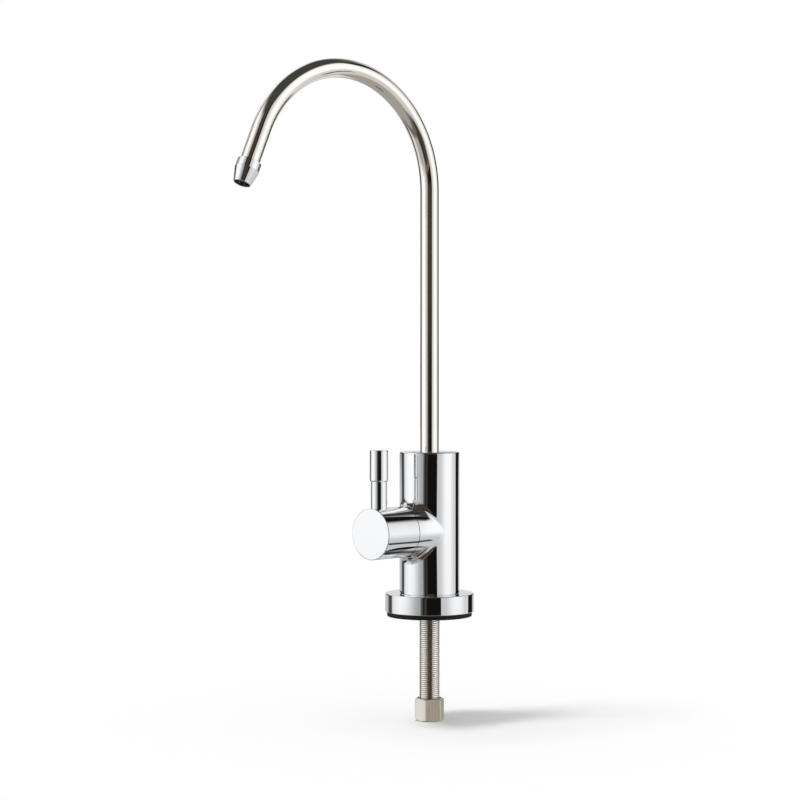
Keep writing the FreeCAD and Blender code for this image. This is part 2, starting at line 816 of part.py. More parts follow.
def flow_straightener():
    """Perforated disc: one hole in the middle and six round it."""
    body = new_body("flow_straightener")
    turned(body, ring_corners("0", "straightener_radius", "straightener_foot", "nozzle_ledge"))
    middle = new_sketch(body, "XY_Plane", ("0", "0", "nozzle_ledge"))
    add_circle(middle, "0", "0", "straightener_hole")
    sunk(body, middle, "straightener_thickness")
    outer = new_sketch(body, "XY_Plane", ("0", "0", "nozzle_ledge"))
    add_circle(outer, "straightener_circle / 2", "0", "straightener_hole")
    hole = sunk(body, outer, "straightener_thickness")
    repeated(body, hole, "Z_Axis", 6)
    on_tube_end(body)
    return body


def cartridge_seal():
    """Rubber ring between the floor of the chamber and the cartridge."""
    body = new_body("cartridge_seal")
    inner = "disc_radius - cartridge_seal_width"
    turned(body, along(ring_corners(inner, "disc_radius", "housing_back", "floor_y")), "H_Axis")
    on_handle_axis(body)
    return body


def cartridge_housing():
    """Plastic housing: waist with four water windows and the stop's window, groove, flange."""
    body = new_body("cartridge_housing")
    section = [
        ("disc_bore", "housing_back"),
        ("barrel_radius", "housing_back"),
        ("barrel_radius", "waist_back"),
        ("housing_waist / 2", "waist_back"),
        ("housing_waist / 2", "driver_front"),
        ("barrel_radius", "driver_front"),
        ("barrel_radius", "mouth_step"),
        ("mouth_chamber_radius", "mouth_step"),
        ("mouth_chamber_radius", "housing_front"),
        ("spindle_bore", "housing_front"),
        ("spindle_bore", "housing_neck"),
        ("disc_bore", "housing_neck"),
    ]
    turned(body, along(section), "H_Axis")
    half_groove = "(housing_seal_section / 2 + seal_room)"
    low = "housing_seal_place - " + half_groove
    high = "housing_seal_place + " + half_groove
    groove = ring_corners("barrel_radius - housing_seal_section", "chamber_radius", low, high)
    turned(body, along(groove), "H_Axis", cut=True)
    window = new_sketch(body, "XY_Plane")
    half_width = "housing_window_width / 2"
    low = "waist_back - housing_window_length"
    high = "waist_back"
    add_outline(window, block_corners(half_width, low, high))
    slot = sunk(body, window, "chamber_radius", backwards=True)
    repeated(body, slot, "Y_Axis", 4)
    window_back = "stop_lug_back + running_gap"
    stop = ring_corners("0 - barrel_radius", "0 - disc_radius", "driver_front", window_back)
    turned(body, along(stop), "H_Axis", cut=True, angle="stop_window_angle")
    on_handle_axis(body)
    return body


def housing_o_ring():
    """Ring round the housing, between it and the wall of the chamber."""
    radius = "(barrel_radius - housing_seal_section / 2)"
    places = ["housing_seal_place"]
    return o_rings("housing_o_ring", "housing_seal_section", radius, places, along_handle=True)


def fixed_ceramic_disc():
    """Disc with two ports, one each side of the axis."""
    body = new_body("fixed_ceramic_disc")
    turned(body, along(ring_corners("0", "disc_radius", "fixed_front", "housing_back")), "H_Axis")
    ports = new_sketch(body, "XZ_Plane", ("0", "0", "0 - (fixed_front)"))
    add_circle(ports, "disc_port_circle / 2", "0", "disc_port")
    add_circle(ports, "0 - disc_port_circle / 2", "0", "disc_port")
    sunk(body, ports, "disc_thickness")
    on_handle_axis(body)
    return body


def turning_ceramic_disc():
    """Disc with two round notches above and below, and a slot for the spindle's tongue."""
    body = new_body("turning_ceramic_disc")
    section = ring_corners("0", "disc_radius", "turning_front", "turning_back")
    turned(body, along(section), "H_Axis")
    notches = new_sketch(body, "XZ_Plane", ("0", "0", "0 - (turning_front)"))
    add_circle(notches, "0", "disc_port_circle / 2", "disc_notch")
    add_circle(notches, "0", "0 - disc_port_circle / 2", "disc_notch")
    sunk(body, notches, "disc_thickness")
    slot = new_sketch(body, "XZ_Plane", ("0", "0", "0 - (turning_front)"))
    half = "driver_tongue / 2 + fit_gap"
    add_outline(slot, block_corners("disc_diameter", "0 - (%s)" % half, half))
    sunk(body, slot, "driver_tongue_height + fit_gap")
    on_handle_axis(body)
    return body


def spindle_seal_places():
    first = "housing_neck - spindle_seal_start"
    return [first, first + " - spindle_seal_pitch"]


def valve_spindle():
    """Spindle: driver with its tongue and stop lug, journal with its grooves, square end."""
    body = new_body("valve_spindle")
    section = [
        ("0", "turning_front"),
        ("disc_radius", "turning_front"),
        ("disc_radius", "driver_front"),
        ("spindle_radius", "driver_front"),
        ("spindle_radius", "spindle_shoulder"),
        ("0", "spindle_shoulder"),
    ]
    turned(body, along(section), "H_Axis")
    half_groove = "(spindle_seal_section / 2 + seal_room)"
    for place in spindle_seal_places():
        low = "%s - %s" % (place, half_groove)
        high = "%s + %s" % (place, half_groove)
        groove = ring_corners("spindle_radius - spindle_seal_section", "spindle_bore", low, high)
        turned(body, along(groove), "H_Axis", cut=True)
    clip = ring_corners("spindle_radius - clip_groove", "spindle_bore", "clip_front", "clip_back")
    turned(body, along(clip), "H_Axis", cut=True)
    tongue = new_sketch(body, "XZ_Plane", ("0", "0", "0 - (turning_front)"))
    across = "disc_radius - driver_tongue_inset"
    add_outline(tongue, block_corners(across, "0 - driver_tongue / 2", "driver_tongue / 2"))
    raised(body, tongue, "driver_tongue_height", backwards=True)
    lug = new_sketch(body, "XZ_Plane", ("0", "0", "0 - (stop_lug_back)"))
    sides = [
        "(270 - stop_travel / 2 - stop_lug_angle / 2)",
        "(270 - stop_travel / 2 + stop_lug_angle / 2)",
    ]
    inner = [("spindle_radius * cos" + side, "spindle_radius * sin" + side) for side in sides]
    outer = [("stop_lug_radius * cos" + side, "stop_lug_radius * sin" + side) for side in sides]
    add_outline(lug, inner + outer[::-1])
    raised(body, lug, "stop_lug_back - driver_front - running_gap")
    square = new_sketch(body, "XZ_Plane", ("0", "0", "0 - (spindle_shoulder)"))
    add_outline(square, square_corners("square_half"))
    raised(body, square, "spindle_shoulder - spindle_end")
    on_handle_axis(body)
    return body


def spindle_o_rings():
    """Two rings in the grooves of the spindle."""
    radius = "(spindle_radius - spindle_seal_section / 2)"
    places = spindle_seal_places()
    return o_rings("spindle_o_rings", "spindle_seal_section", radius, places, along_handle=True)


def spindle_clip():
    """Open snap ring in the spindle's groove, in front of the housing."""
    body = new_body("spindle_clip")
    inner = "spindle_radius - clip_groove + fit_gap"
    outer = "%s + clip_width" % inner
    low = "clip_front + fit_gap"
    high = "clip_back - fit_gap"
    turned(body, along(ring_corners(inner, outer, low, high)), "H_Axis")
    gap = new_sketch(body, "XZ_Plane", ("0", "0", "0 - (clip_front)"))
    add_outline(gap, block_corners("clip_opening / 2", "0 - 2 * spindle_diameter", "0"))
    sunk(body, gap, "2 * clip_thickness", both_ways=True)
    on_handle_axis(body)
    return body


def cartridge_nut():
    """Nut that clamps the cartridge: threaded part in the boss, hexagon inside the knob."""
    body = new_body("cartridge_nut")
    bore = "cartridge_nut_bore / 2"
    recess = "spindle_radius + clip_width"
    section = [
        (recess, "housing_front"),
        ("mouth_chamber_radius", "housing_front"),
        ("mouth_chamber_radius", "boss_face"),
        (bore, "boss_face"),
        (bore, "nut_recess"),
        (recess, "nut_recess"),
    ]
    turned(body, along(section), "H_Axis")
    head = hexagon(body, "cartridge_nut_corner", "0", "XZ_Plane", ("0", "0", "0 - (boss_face)"))
    add_circle(head, "0", "0", "cartridge_nut_bore")
    raised(body, head, "cartridge_nut_head")
    on_handle_axis(body)
    return body


def handle_knob():
    """Round knob, hollow behind, with the square hole of the spindle and the lever's hole."""
    body = new_body("handle_knob")
    section = [
        ("0", "knob_front"),
        ("knob_radius", "knob_front"),
        ("knob_radius", "knob_back"),
        ("knob_hollow_radius", "knob_back"),
        ("knob_hollow_radius", "knob_hollow_front"),
        ("0", "knob_hollow_front"),
    ]
    shell = turned(body, along(section), "H_Axis")
    dressed(
        body, shell, "Fillet", "Radius", "knob_edge",
        lambda edge: is_circle(edge, "knob_radius", "y", "knob_front"),
    )
    square = new_sketch(body, "XZ_Plane", ("0", "0", "0 - (knob_hollow_front)"))
    add_outline(square, square_corners("square_half + fit_gap"))
    sunk(body, square, "knob_hollow_front - spindle_end + fit_gap", backwards=True)
    lever_hole = ring_corners(
        "0", "lever_pin_diameter / 2 + fit_gap", "lever_pin_root", "knob_radius"
    )
    turned(body, lever_hole, shift=("lever_y", "0", "0"), cut=True)
    grub_hole = ring_corners(
        "0", "grub_diameter / 2 + thread_gap", "0 - knob_radius", "0 - square_half"
    )
    turned(body, grub_hole, shift=("grub_y", "0", "0"), cut=True)
    on_handle_axis(body)
    return body


def grub_screw():
    """Headless screw from below, with a hexagon socket, that presses on the spindle's square."""
    body = new_body("grub_screw")
    foot = "0 - square_half - grub_length"
    turned(body, ring_corners("0", "grub_diameter / 2", foot, "0 - square_half"))
    key = hexagon(body, "grub_socket / sqrt(3)", "0", "XY_Plane", ("0", "0", foot))
    sunk(body, key, "grub_socket_depth", backwards=True)
    body.setExpression("Placement.Base.y", bound("grub_y"))
    body.setExpression("Placement.Base.z", bound("handle_height"))
    return body


def lever_pin():
    """Lower part of the lever, set in the knob, with the stud that carries the grip."""
    body = new_body("lever_pin")
    section = [
        ("0", "lever_pin_root"),
        ("lever_pin_diameter / 2", "lever_pin_root"),
        ("lever_pin_diameter / 2", "lever_pin_rise"),
        ("lever_stud_diameter / 2", "lever_pin_rise"),
        ("lever_stud_diameter / 2", "lever_stud_top"),
        ("0", "lever_stud_top"),
    ]
    turned(body, section)
    on_lever_axis(body)
    return body


def lever_grip():
    """Upper part of the lever, a little wider below, with both its edges broken."""
    body = new_body("lever_grip")
    stud_hole = "lever_stud_diameter / 2 + thread_gap"
    section = [
        (stud_hole, "lever_pin_rise"),
        ("grip_foot_radius - lever_grip_foot_edge", "lever_pin_rise"),
        ("grip_foot_radius", "lever_pin_rise + lever_grip_foot_edge"),
        ("grip_radius", "grip_top - lever_grip_edge"),
        ("grip_radius - lever_grip_edge", "grip_top"),
        ("0", "grip_top"),
        ("0", "lever_stud_top + thread_gap"),
        (stud_hole, "lever_stud_top + thread_gap"),
    ]
    turned(body, section)
    on_lever_axis(body)
    return body


MAKERS = (
    valve_body,
    base_flange,
    base_gasket,
    threaded_shank,
    shank_seal,
    compression_nut,
    compression_ferrule,
    spout_tube,
    spout_sleeve,
    spout_o_rings,
    spout_washer,
    spout_bush,
    nozzle_collar,
    nozzle_tip,
    nozzle_seal,
    flow_straightener,
    cartridge_seal,
    cartridge_housing,
    housing_o_ring,
    fixed_ceramic_disc,
    turning_ceramic_disc,
    valve_spindle,
    spindle_o_rings,
    spindle_clip,
    cartridge_nut,
    handle_knob,
    grub_screw,
    lever_pin,
    lever_grip,
)

pieces = [make() for make in MAKERS]
doc.recompute()

for item in doc.Objects:
    if "Invalid" in item.State or "Error" in item.State:
        raise RuntimeError("%s could not be computed" % item.Label)
for piece in pieces:
    if piece.Shape.isNull() or not piece.Shape.isValid():
        raise RuntimeError("%s has no valid shape" % piece.Label)

os.makedirs("parts", exist_ok=True)
for piece in pieces:
    piece.Shape.exportStep("parts/%s.step" % piece.Label)
    box = piece.Shape.BoundBox
    print("%-22s solids %d  volume %9.1f  z %7.2f to %7.2f  y %8.2f to %7.2f" % (
        piece.Label, len(piece.Shape.Solids), piece.Shape.Volume,
        box.ZMin, box.ZMax, box.YMin, box.YMax,
    ))
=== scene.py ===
"""Looks of a single-lever drinking-water tap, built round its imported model.

The file is laid out as an add-on. Run as a script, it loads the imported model, calls one operator
after another and leaves a scene that is ready to render. Lengths are metres, and Z points up.
"""
import json
import math

import bpy
import numpy as np
from bpy.props import FloatProperty, FloatVectorProperty, PointerProperty
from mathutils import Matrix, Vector


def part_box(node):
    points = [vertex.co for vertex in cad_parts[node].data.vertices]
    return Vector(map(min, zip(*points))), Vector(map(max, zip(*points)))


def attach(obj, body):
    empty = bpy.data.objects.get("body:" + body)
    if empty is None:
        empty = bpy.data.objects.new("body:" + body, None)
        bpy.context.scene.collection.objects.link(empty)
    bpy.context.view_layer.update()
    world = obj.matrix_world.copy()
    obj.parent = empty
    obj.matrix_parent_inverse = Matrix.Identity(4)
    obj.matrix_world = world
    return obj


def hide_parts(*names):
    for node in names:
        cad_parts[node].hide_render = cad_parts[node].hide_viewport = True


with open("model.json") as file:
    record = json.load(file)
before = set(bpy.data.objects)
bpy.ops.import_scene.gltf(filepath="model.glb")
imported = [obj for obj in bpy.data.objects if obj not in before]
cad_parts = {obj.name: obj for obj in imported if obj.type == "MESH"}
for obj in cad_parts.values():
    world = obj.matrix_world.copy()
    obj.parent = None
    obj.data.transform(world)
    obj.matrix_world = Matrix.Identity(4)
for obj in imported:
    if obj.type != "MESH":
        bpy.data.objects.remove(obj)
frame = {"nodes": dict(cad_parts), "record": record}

bl_info = {
    "name": "Drinking-water tap",
    "version": (1, 0, 0),
    "blender": (4, 5, 0),
    "location": "View3D > Sidebar > Tap",
    "description": "Surfaces, finishes and studio for a single-lever drinking-water tap",
    "category": "Add Mesh",
}

MM = 0.001
NODES = frame["nodes"]

# Sizes that the pieces share with the solids and that no box of a node gives
PASSAGE_GAP = 0.25 * MM
THREAD_GAP = 0.03 * MM
FLANGE_HUB_WALL = 3.2 * MM
FLANGE_RIM = 5.0 * MM
FLANGE_WEB = 4.0 * MM
GASKET_EDGE = 0.4 * MM
SHANK_BORE = 2.5 * MM
SUPPLY_BORE = 3.25 * MM
SUPPLY_SOCKET = 10.0 * MM
SUPPLY_CONE = 1.15 * MM
NUT_FLAT = 14.29 * MM / 2
NUT_TURN = math.radians(-1.0)
NUT_FLOOR = 2.5 * MM
NUT_CHAMFER = 0.3 * MM
# Radii from the axis over which the painted shade, a dark ring round the nut's thread, fades out
NUT_PAINTED_SHADE = (6.35 * MM, 6.55 * MM)
TUBE_RADIUS = 5.0 * MM
TUBE_BORE = 4.1 * MM
BUSH_GAP = 0.05 * MM
TUBE_GRIP = 3.0 * MM
TUBE_SOCKET = TUBE_RADIUS + 0.02 * MM
COLLAR_RADIUS, COLLAR_LENGTH = 6.15 * MM, 4.4 * MM
SPIGOT_RADIUS, SPIGOT_LENGTH = 4.9 * MM, 2.6 * MM
TIP_RADIUS, TIP_LENGTH = 6.3 * MM, 7.8 * MM
LIP_RADIUS, MOUTH_RADIUS = 4.5 * MM, 4.05 * MM
NOZZLE_SEAL = 0.8 * MM
INSERT_RADIUS, INSERT_LENGTH = 4.58 * MM, 1.6 * MM
LEVER_STUD = 2.5 * MM
GRIP_FOOT = 0.6 * MM
GRIP_STEP = 0.1 * MM


def low(node):
    """Lowest corner of a node's box."""
    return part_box(node)[0]


def high(node):
    """Highest corner of a node's box."""
    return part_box(node)[1]


def spout_outlet():
    """Place and outward direction of the spout's mouth."""
    mounts = frame["record"]["mounts"]
    outlet = next(mount for mount in mounts if mount["name"] == "spout_outlet")
    return Vector(outlet["pos_m"]), Vector(outlet["axis"])


def spout_form():
    """Radius and angle of the spout's bend, the straight length past it, and the spout's turn.

    The outlet's axis gives the angle and the turn. The outlet's distance from Z is
    radius * (1 - cos) + straight * sin, and its height above the crown of the centre line is
    radius * (sin - 1) + straight * cos, which gives the two lengths.
    """
    place, axis = spout_outlet()
    angle = math.acos(axis.z)
    turn = math.atan2(axis.x, -axis.y)
    crown = high("spout_tube").z - TUBE_RADIUS
    sine, cosine = math.sin(angle), math.cos(angle)
    shares = [[1 - cosine, sine], [sine - 1, cosine]]
    reach = math.hypot(place.x, place.y)
    radius, straight = np.linalg.solve(shares, [reach, place.z - crown])
    return radius, angle, straight, turn


# Sizes, finishes and studio settings that a user would change


class TapSizes(bpy.types.PropertyGroup):
    """Sizes of the detail that the scene adds."""

    thread_pitch: FloatProperty(
        name="Thread pitch", description="Rise of the shank's thread in one turn",
        default=25.4 * MM / 24, unit="LENGTH",
    )
    thread_depth: FloatProperty(
        name="Thread depth", description="Height of the shank's thread from root to crest",
        default=0.6 * MM, unit="LENGTH",
    )
    edge_round: FloatProperty(
        name="Edge rounding", description="Radius of the edges that polishing has broken",
        default=0.15 * MM, unit="LENGTH",
    )
    nut_corner_round: FloatProperty(
        name="Nut corner rounding", description="Radius of the hexagon's upright corners",
        default=0.4 * MM, unit="LENGTH",
    )
    nut_countersink: FloatProperty(
        name="Nut countersink", description="Width of the bevel round the nut's threaded mouth",
        default=0.9 * MM, unit="LENGTH",
    )


def colour(name, description, value):
    """Colour property with the usual range."""
    return FloatVectorProperty(
        name=name, description=description, default=value, subtype="COLOR", min=0.0, max=1.0
    )


class TapFinishes(bpy.types.PropertyGroup):
    """Colours of the finishes."""

    chrome: colour("Chrome", "Bright chrome plating", (0.90, 0.91, 0.925))
    polished_steel: colour("Spout", "Warm polished tube", (0.99, 0.945, 0.885))
    warm_nickel: colour("Shank", "Nickel plating on the thread", (1.0, 0.975, 0.935))
    satin_nickel: colour("Nut", "Satin nickel plating", (0.93, 0.885, 0.82))
    black_rubber: colour("Rubber", "Gasket and seals", (0.006, 0.006, 0.007))
    brass: colour("Brass", "Turned inner parts", (0.78, 0.57, 0.28))
    white_plastic: colour("White plastic", "Moulded inner parts", (0.82, 0.82, 0.79))
    black_plastic: colour("Black plastic", "Flow straightener in the nozzle", (0.006, 0.006, 0.006))
    ceramic: colour("Ceramic", "Lapped discs", (0.87, 0.85, 0.80))
    spring_steel: colour("Spring steel", "Clip and grub screw", (0.36, 0.36, 0.38))


class StudioSettings(bpy.types.PropertyGroup):
    """Camera and light."""

    camera_bearing: FloatProperty(
        name="Camera bearing", description="Direction of the camera round the tap, from +X",
        default=math.radians(-46.5), unit="ROTATION",
    )
    camera_distance: FloatProperty(
        name="Camera distance", description="Level distance from the tap's axis",
        default=1.099, unit="LENGTH",
    )
    camera_height: FloatProperty(
        name="Camera height", description="Height above the counter",
        default=130.4 * MM, unit="LENGTH",
    )
    camera_left: FloatProperty(
        name="Camera offset", description="How far the camera stands left of the tap's axis",
        default=15.96 * MM, unit="LENGTH",
    )
    camera_tilt: FloatProperty(
        name="Camera tilt", description="How far the camera looks down",
        default=math.radians(0.7056), unit="ROTATION",
    )
    lens: FloatProperty(name="Lens", description="Focal length in millimetres", default=91.35)
    room_light: FloatProperty(
        name="Room light", description="Even light from all sides", default=0.62,
    )
    key_light: FloatProperty(
        name="Key light", description="Strength of the soft light above the camera", default=1.3,
    )


# Surfaces


def new_piece(name, points, faces, sharp_angle=math.radians(30)):
    """Mesh object from points and four-cornered faces.

    Points at one place become one, so that seams and poles close, and a face that has lost a
    corner becomes a triangle. If the enclosed volume, a sixth of the sum of the triple products
    of each triangle's corners, comes out negative, all faces are turned round.
    """
    grain = 1e-8
    keys = np.round(points / grain).astype(np.int64)
    unique, first, place = np.unique(keys, axis=0, return_index=True, return_inverse=True)
    points = points[first]
    faces = place.reshape(-1)[faces]
    following = np.roll(faces, -1, axis=1)
    kept = faces != following
    faces, kept = faces[kept.sum(1) > 2], kept[kept.sum(1) > 2]
    corners = points[faces]
    volume = np.einsum("ij,ij->", corners[:, 0], np.cross(corners[:, 1], corners[:, 2]))
    volume += np.einsum("ij,ij->", corners[:, 0], np.cross(corners[:, 2], corners[:, 3]))
    if volume < 0:
        faces, kept = faces[:, ::-1], kept[:, ::-1]
    mesh = bpy.data.meshes.new(name)
    whole = faces[kept.all(1)].tolist()
    cut = [face[keep].tolist() for face, keep in zip(faces[~kept.all(1)], kept[~kept.all(1)])]
    mesh.from_pydata(points.tolist(), [], whole + cut)
    mesh.polygons.foreach_set("use_smooth", np.ones(len(mesh.polygons), bool))
    mesh.set_sharp_from_angle(angle=sharp_angle)
    piece = bpy.data.objects.new(name, mesh)
    bpy.context.scene.collection.objects.link(piece)
    return piece


def grid_faces(rows, columns):
    """Four-cornered faces between neighbours on a grid of rows by columns."""
    number = np.arange(rows * columns).reshape(rows, columns)
    sides = (number[:-1, :-1], number[:-1, 1:], number[1:, 1:], number[1:, :-1])
    return np.stack(sides, -1).reshape(-1, 4)


def even_shading(piece):
    """Let large faces rule the shading, so that flats look flat beside small roundings."""
    modifier = piece.modifiers.new("Even shading", "WEIGHTED_NORMAL")
    modifier.keep_sharp = True
    return piece


def rounded(corners, steps=5):
    """Closed outline of (radius, height) points from corners (radius, height, rounding).

    A corner's arc touches both sides at rounding / tan(half the corner's angle) from the corner.
    Its centre lies on the bisector at rounding / sin(half the angle), and the arc's points turn
    evenly from the one touching point to the other.
    """
    places = np.array([corner[:2] for corner in corners], float)
    outline = []
    for k, (here, rounding) in enumerate(zip(places, (corner[2] for corner in corners))):
        if rounding == 0:
            outline.append(here[None])
            continue
        back = places[k - 1] - here
        ahead = places[(k + 1) % len(places)] - here
        back, ahead = back / np.hypot(*back), ahead / np.hypot(*ahead)
        half = math.acos(np.clip(back @ ahead, -1, 1)) / 2
        bisector = (back + ahead) / np.hypot(*(back + ahead))
        centre = here + bisector * rounding / math.sin(half)
        start = here + back * rounding / math.tan(half) - centre
        end = here + ahead * rounding / math.tan(half) - centre
        angle = math.pi - 2 * half
        share = np.linspace(0, 1, steps)[:, None]
        arc = np.sin((1 - share) * angle) * start + np.sin(share * angle) * end
        outline.append(centre + arc / math.sin(angle))
    outline = np.concatenate(outline)
    return np.concatenate([outline, outline[:1]])


def turned(name, corners, origin=(0, 0, 0), axis=(0, 0, 1), columns=96):
    """Ring or pin: a closed outline of radius and height turned about an axis.

    A point is origin + height * axis + radius * (cos t * side + sin t * third), where side and
    third are square to the axis and to each other.
    """
    outline = rounded(corners)
    axis = np.array(axis, float) / np.linalg.norm(axis)
    third = np.cross(axis, (1.0, 0.0, 0.0))
    third /= np.linalg.norm(third)
    side = np.cross(third, axis)
    turn = np.linspace(0, 2 * np.pi, columns + 1)[None, :, None]
    radius = outline[:, 0][:, None, None]
    height = outline[:, 1][:, None, None]
    outward = np.cos(turn) * side + np.sin(turn) * third
    points = np.array(origin) + height * axis + radius * outward
    faces = grid_faces(len(outline), columns + 1)
    return even_shading(new_piece(name, points.reshape(-1, 3), faces))


# Finishes


# Stretch that leaves out the height, so that a vector's length is the distance from Z
LEVEL = (1.0, 1.0, 0.0)


def new_material(name, base, metallic, roughness):
    """Material whose plain values stand on the shader's own sockets."""
    material = bpy.data.materials.new(name)
    material.use_nodes = True
    shader = material.node_tree.nodes["Principled BSDF"]
    shader.inputs["Base Color"].default_value = (*base, 1.0)
    shader.inputs["Metallic"].default_value = metallic
    shader.inputs["Roughness"].default_value = roughness
    return material, shader


def object_pattern(material, stretch=(1.0, 1.0, 1.0)):
    """Object coordinates, stretched along the axes."""
    nodes, links = material.node_tree.nodes, material.node_tree.links
    place = nodes.new("ShaderNodeTexCoord")
    mapping = nodes.new("ShaderNodeMapping")
    mapping.inputs["Scale"].default_value = stretch
    links.new(place.outputs["Object"], mapping.inputs["Vector"])
    return mapping.outputs["Vector"]


def noise(material, scale, detail=3.0, stretch=(1.0, 1.0, 1.0)):
    """Noise of so many lumps per metre, stretched along the axes."""
    texture = material.node_tree.nodes.new("ShaderNodeTexNoise")
    texture.inputs["Scale"].default_value = scale
    texture.inputs["Detail"].default_value = detail
    vector = object_pattern(material, stretch)
    material.node_tree.links.new(vector, texture.inputs["Vector"])
    return texture.outputs["Fac"]


def measured(material, operation, stretch=(1.0, 1.0, 1.0), direction=None):
    """Length of the place's vector, or its reach along a direction."""
    node = material.node_tree.nodes.new("ShaderNodeVectorMath")
    node.operation = operation
    material.node_tree.links.new(object_pattern(material, stretch), node.inputs[0])
    if direction is not None:
        node.inputs[1].default_value = direction
    return node.outputs["Value"]


def ranged(material, source, source_low, source_high, out_low=0.0, out_high=1.0):
    """The source's range mapped on another, and held at its ends."""
    node = material.node_tree.nodes.new("ShaderNodeMapRange")
    values = (source_low, source_high, out_low, out_high)
    for socket, value in zip(("From Min", "From Max", "To Min", "To Max"), values):
        node.inputs[socket].default_value = value
    material.node_tree.links.new(source, node.inputs["Value"])
    return node.outputs["Result"]


def fed(tree, socket, value):
    """Give a socket its value: a link from another socket, a colour or a number."""
    if isinstance(value, bpy.types.NodeSocket):
        tree.links.new(value, socket)
    elif socket.type == "RGBA":
        socket.default_value = (*value, 1.0)
    else:
        socket.default_value = value


def blended(tree, mask, first, second):
    """Colour that goes from the first to the second as the mask goes from 0 to 1."""
    node = tree.nodes.new("ShaderNodeMix")
    node.data_type = "RGBA"
    for socket, tone in zip((item for item in node.inputs if item.type == "RGBA"), (first, second)):
        fed(tree, socket, tone)
    tree.links.new(mask, node.inputs["Factor"])
    return next(item for item in node.outputs if item.type == "RGBA")


def computed(tree, operation, *values):
    """Result of a sum on values or sockets."""
    node = tree.nodes.new("ShaderNodeMath")
    node.operation = operation
    for socket, value in zip(node.inputs, values):
        fed(tree, socket, value)
    return node.outputs[0]


def set_colour(material, shader, source):
    """Let a pattern of colours rule the shader's colour."""
    material.node_tree.links.new(source, shader.inputs["Base Color"])


def set_roughness(material, shader, pattern, pattern_low, pattern_high, smooth, rough):
    """Let a pattern rule the roughness, between its smoothest and its roughest."""
    source = ranged(material, pattern, pattern_low, pattern_high, smooth, rough)
    material.node_tree.links.new(source, shader.inputs["Roughness"])


def set_bump(material, shader, height, distance):
    """Let a height pattern rule the shading's relief."""
    node = material.node_tree.nodes.new("ShaderNodeBump")
    node.inputs["Distance"].default_value = distance
    links = material.node_tree.links
    links.new(height, node.inputs["Height"])
    links.new(node.outputs["Normal"], shader.inputs["Normal"])


def chrome(finishes):
    """Mirror plating: a trace of waviness, and polish that is a little uneven."""
    material, shader = new_material("Chrome plating", finishes.chrome, 1.0, 0.04)
    set_roughness(material, shader, noise(material, 90.0, 5.0), 0.35, 0.7, 0.03, 0.065)
    set_bump(material, shader, noise(material, 160.0, 1.0), 2e-6)
    return material


def polished_steel(finishes):
    """Tube polished along its length, warm in tone."""
    material, shader = new_material("Polished tube", finishes.polished_steel, 1.0, 0.12)
    set_roughness(material, shader, noise(material, 220.0, 4.0), 0.3, 0.7, 0.045, 0.08)
    set_bump(material, shader, noise(material, 900.0, 2.0), 1.5e-6)
    return material


def warm_nickel(finishes):
    """Nickel on the thread, with painted shade in brown in its roots, and brown in small spots
    where it has stood.
    """
    base = finishes.warm_nickel
    material, shader = new_material("Nickel thread", base, 1.0, 0.26)
    tree = material.node_tree
    crest = high("threaded_shank").x
    depth = bpy.context.scene.tap_sizes.thread_depth
    # Painted shade: the thread's roots turn brown-dark in place of the shadow between the teeth;
    # the small brown spots below are stains
    from_axis = measured(material, "LENGTH", LEVEL)
    root = ranged(material, from_axis, crest - 0.9 * depth, crest - 0.55 * depth, 1.0, 0.0)
    plating = blended(tree, root, base, (0.42, 0.33, 0.24))
    spots = ranged(material, noise(material, 1100.0, 2.0), 0.66, 0.72)
    set_colour(material, shader, blended(tree, spots, plating, (0.32, 0.21, 0.12)))
    set_roughness(material, shader, noise(material, 1500.0, 2.0), 0.3, 0.7, 0.1, 0.2)
    return material


def satin_nickel(finishes):
    """Satin plating brushed up and down the nut, brown on one face, with painted shade as a dark
    ring round the thread.
    """
    base = finishes.satin_nickel
    material, shader = new_material("Satin nut", base, 1.0, 0.34)
    tree = material.node_tree
    facing = NUT_TURN - math.radians(30)
    toward = (math.cos(facing), math.sin(facing), 0.0)
    outward = measured(material, "DOT_PRODUCT", direction=toward)
    face = ranged(material, outward, NUT_FLAT - 0.25 * MM, NUT_FLAT - 0.05 * MM)
    brushing = noise(material, 900.0, 3.0, (1.0, 1.0, 0.05))
    streaks = ranged(material, brushing, 0.42, 0.58)
    browned = blended(tree, streaks, (1.0, 0.96, 0.84), (0.95, 0.80, 0.61))
    plating = blended(tree, face, base, browned)
    # Painted shade: a dark ring round the nut's threaded mouth stands in for the shadow of the
    # shank in the countersink
    from_axis = measured(material, "LENGTH", LEVEL)
    painted_shade = ranged(material, from_axis, *NUT_PAINTED_SHADE, 1.0, 0.0)
    set_colour(material, shader, blended(tree, painted_shade, plating, (0.06, 0.045, 0.035)))
    set_roughness(material, shader, brushing, 0.3, 0.7, 0.36, 0.5)
    set_bump(material, shader, brushing, 1.2e-5)
    return material


def black_rubber(finishes):
    """Smooth black rubber with a dull bloom."""
    material, shader = new_material("Black rubber", finishes.black_rubber, 0.0, 0.5)
    shader.inputs["Specular IOR Level"].default_value = 0.25
    set_roughness(material, shader, noise(material, 140.0, 4.0), 0.3, 0.7, 0.42, 0.6)
    set_bump(material, shader, noise(material, 2500.0, 2.0), 1e-5)
    return material


def brass(finishes):
    """Turned brass with fine tool lines round the axis."""
    base = finishes.brass
    material, shader = new_material("Turned brass", base, 1.0, 0.24)
    tarnish = ranged(material, noise(material, 160.0, 3.0), 0.35, 0.75)
    dull = tuple(0.7 * part for part in base)
    set_colour(material, shader, blended(material.node_tree, tarnish, base, dull))
    set_bump(material, shader, noise(material, 2600.0, 1.0, (0.02, 1.0, 1.0)), 6e-6)
    return material


def white_plastic(finishes):
    """Moulded plastic, matt, with a fine spark-eroded grain."""
    material, shader = new_material("White plastic", finishes.white_plastic, 0.0, 0.48)
    grain = noise(material, 3200.0, 2.0)
    set_roughness(material, shader, grain, 0.3, 0.7, 0.42, 0.56)
    set_bump(material, shader, grain, 8e-6)
    return material


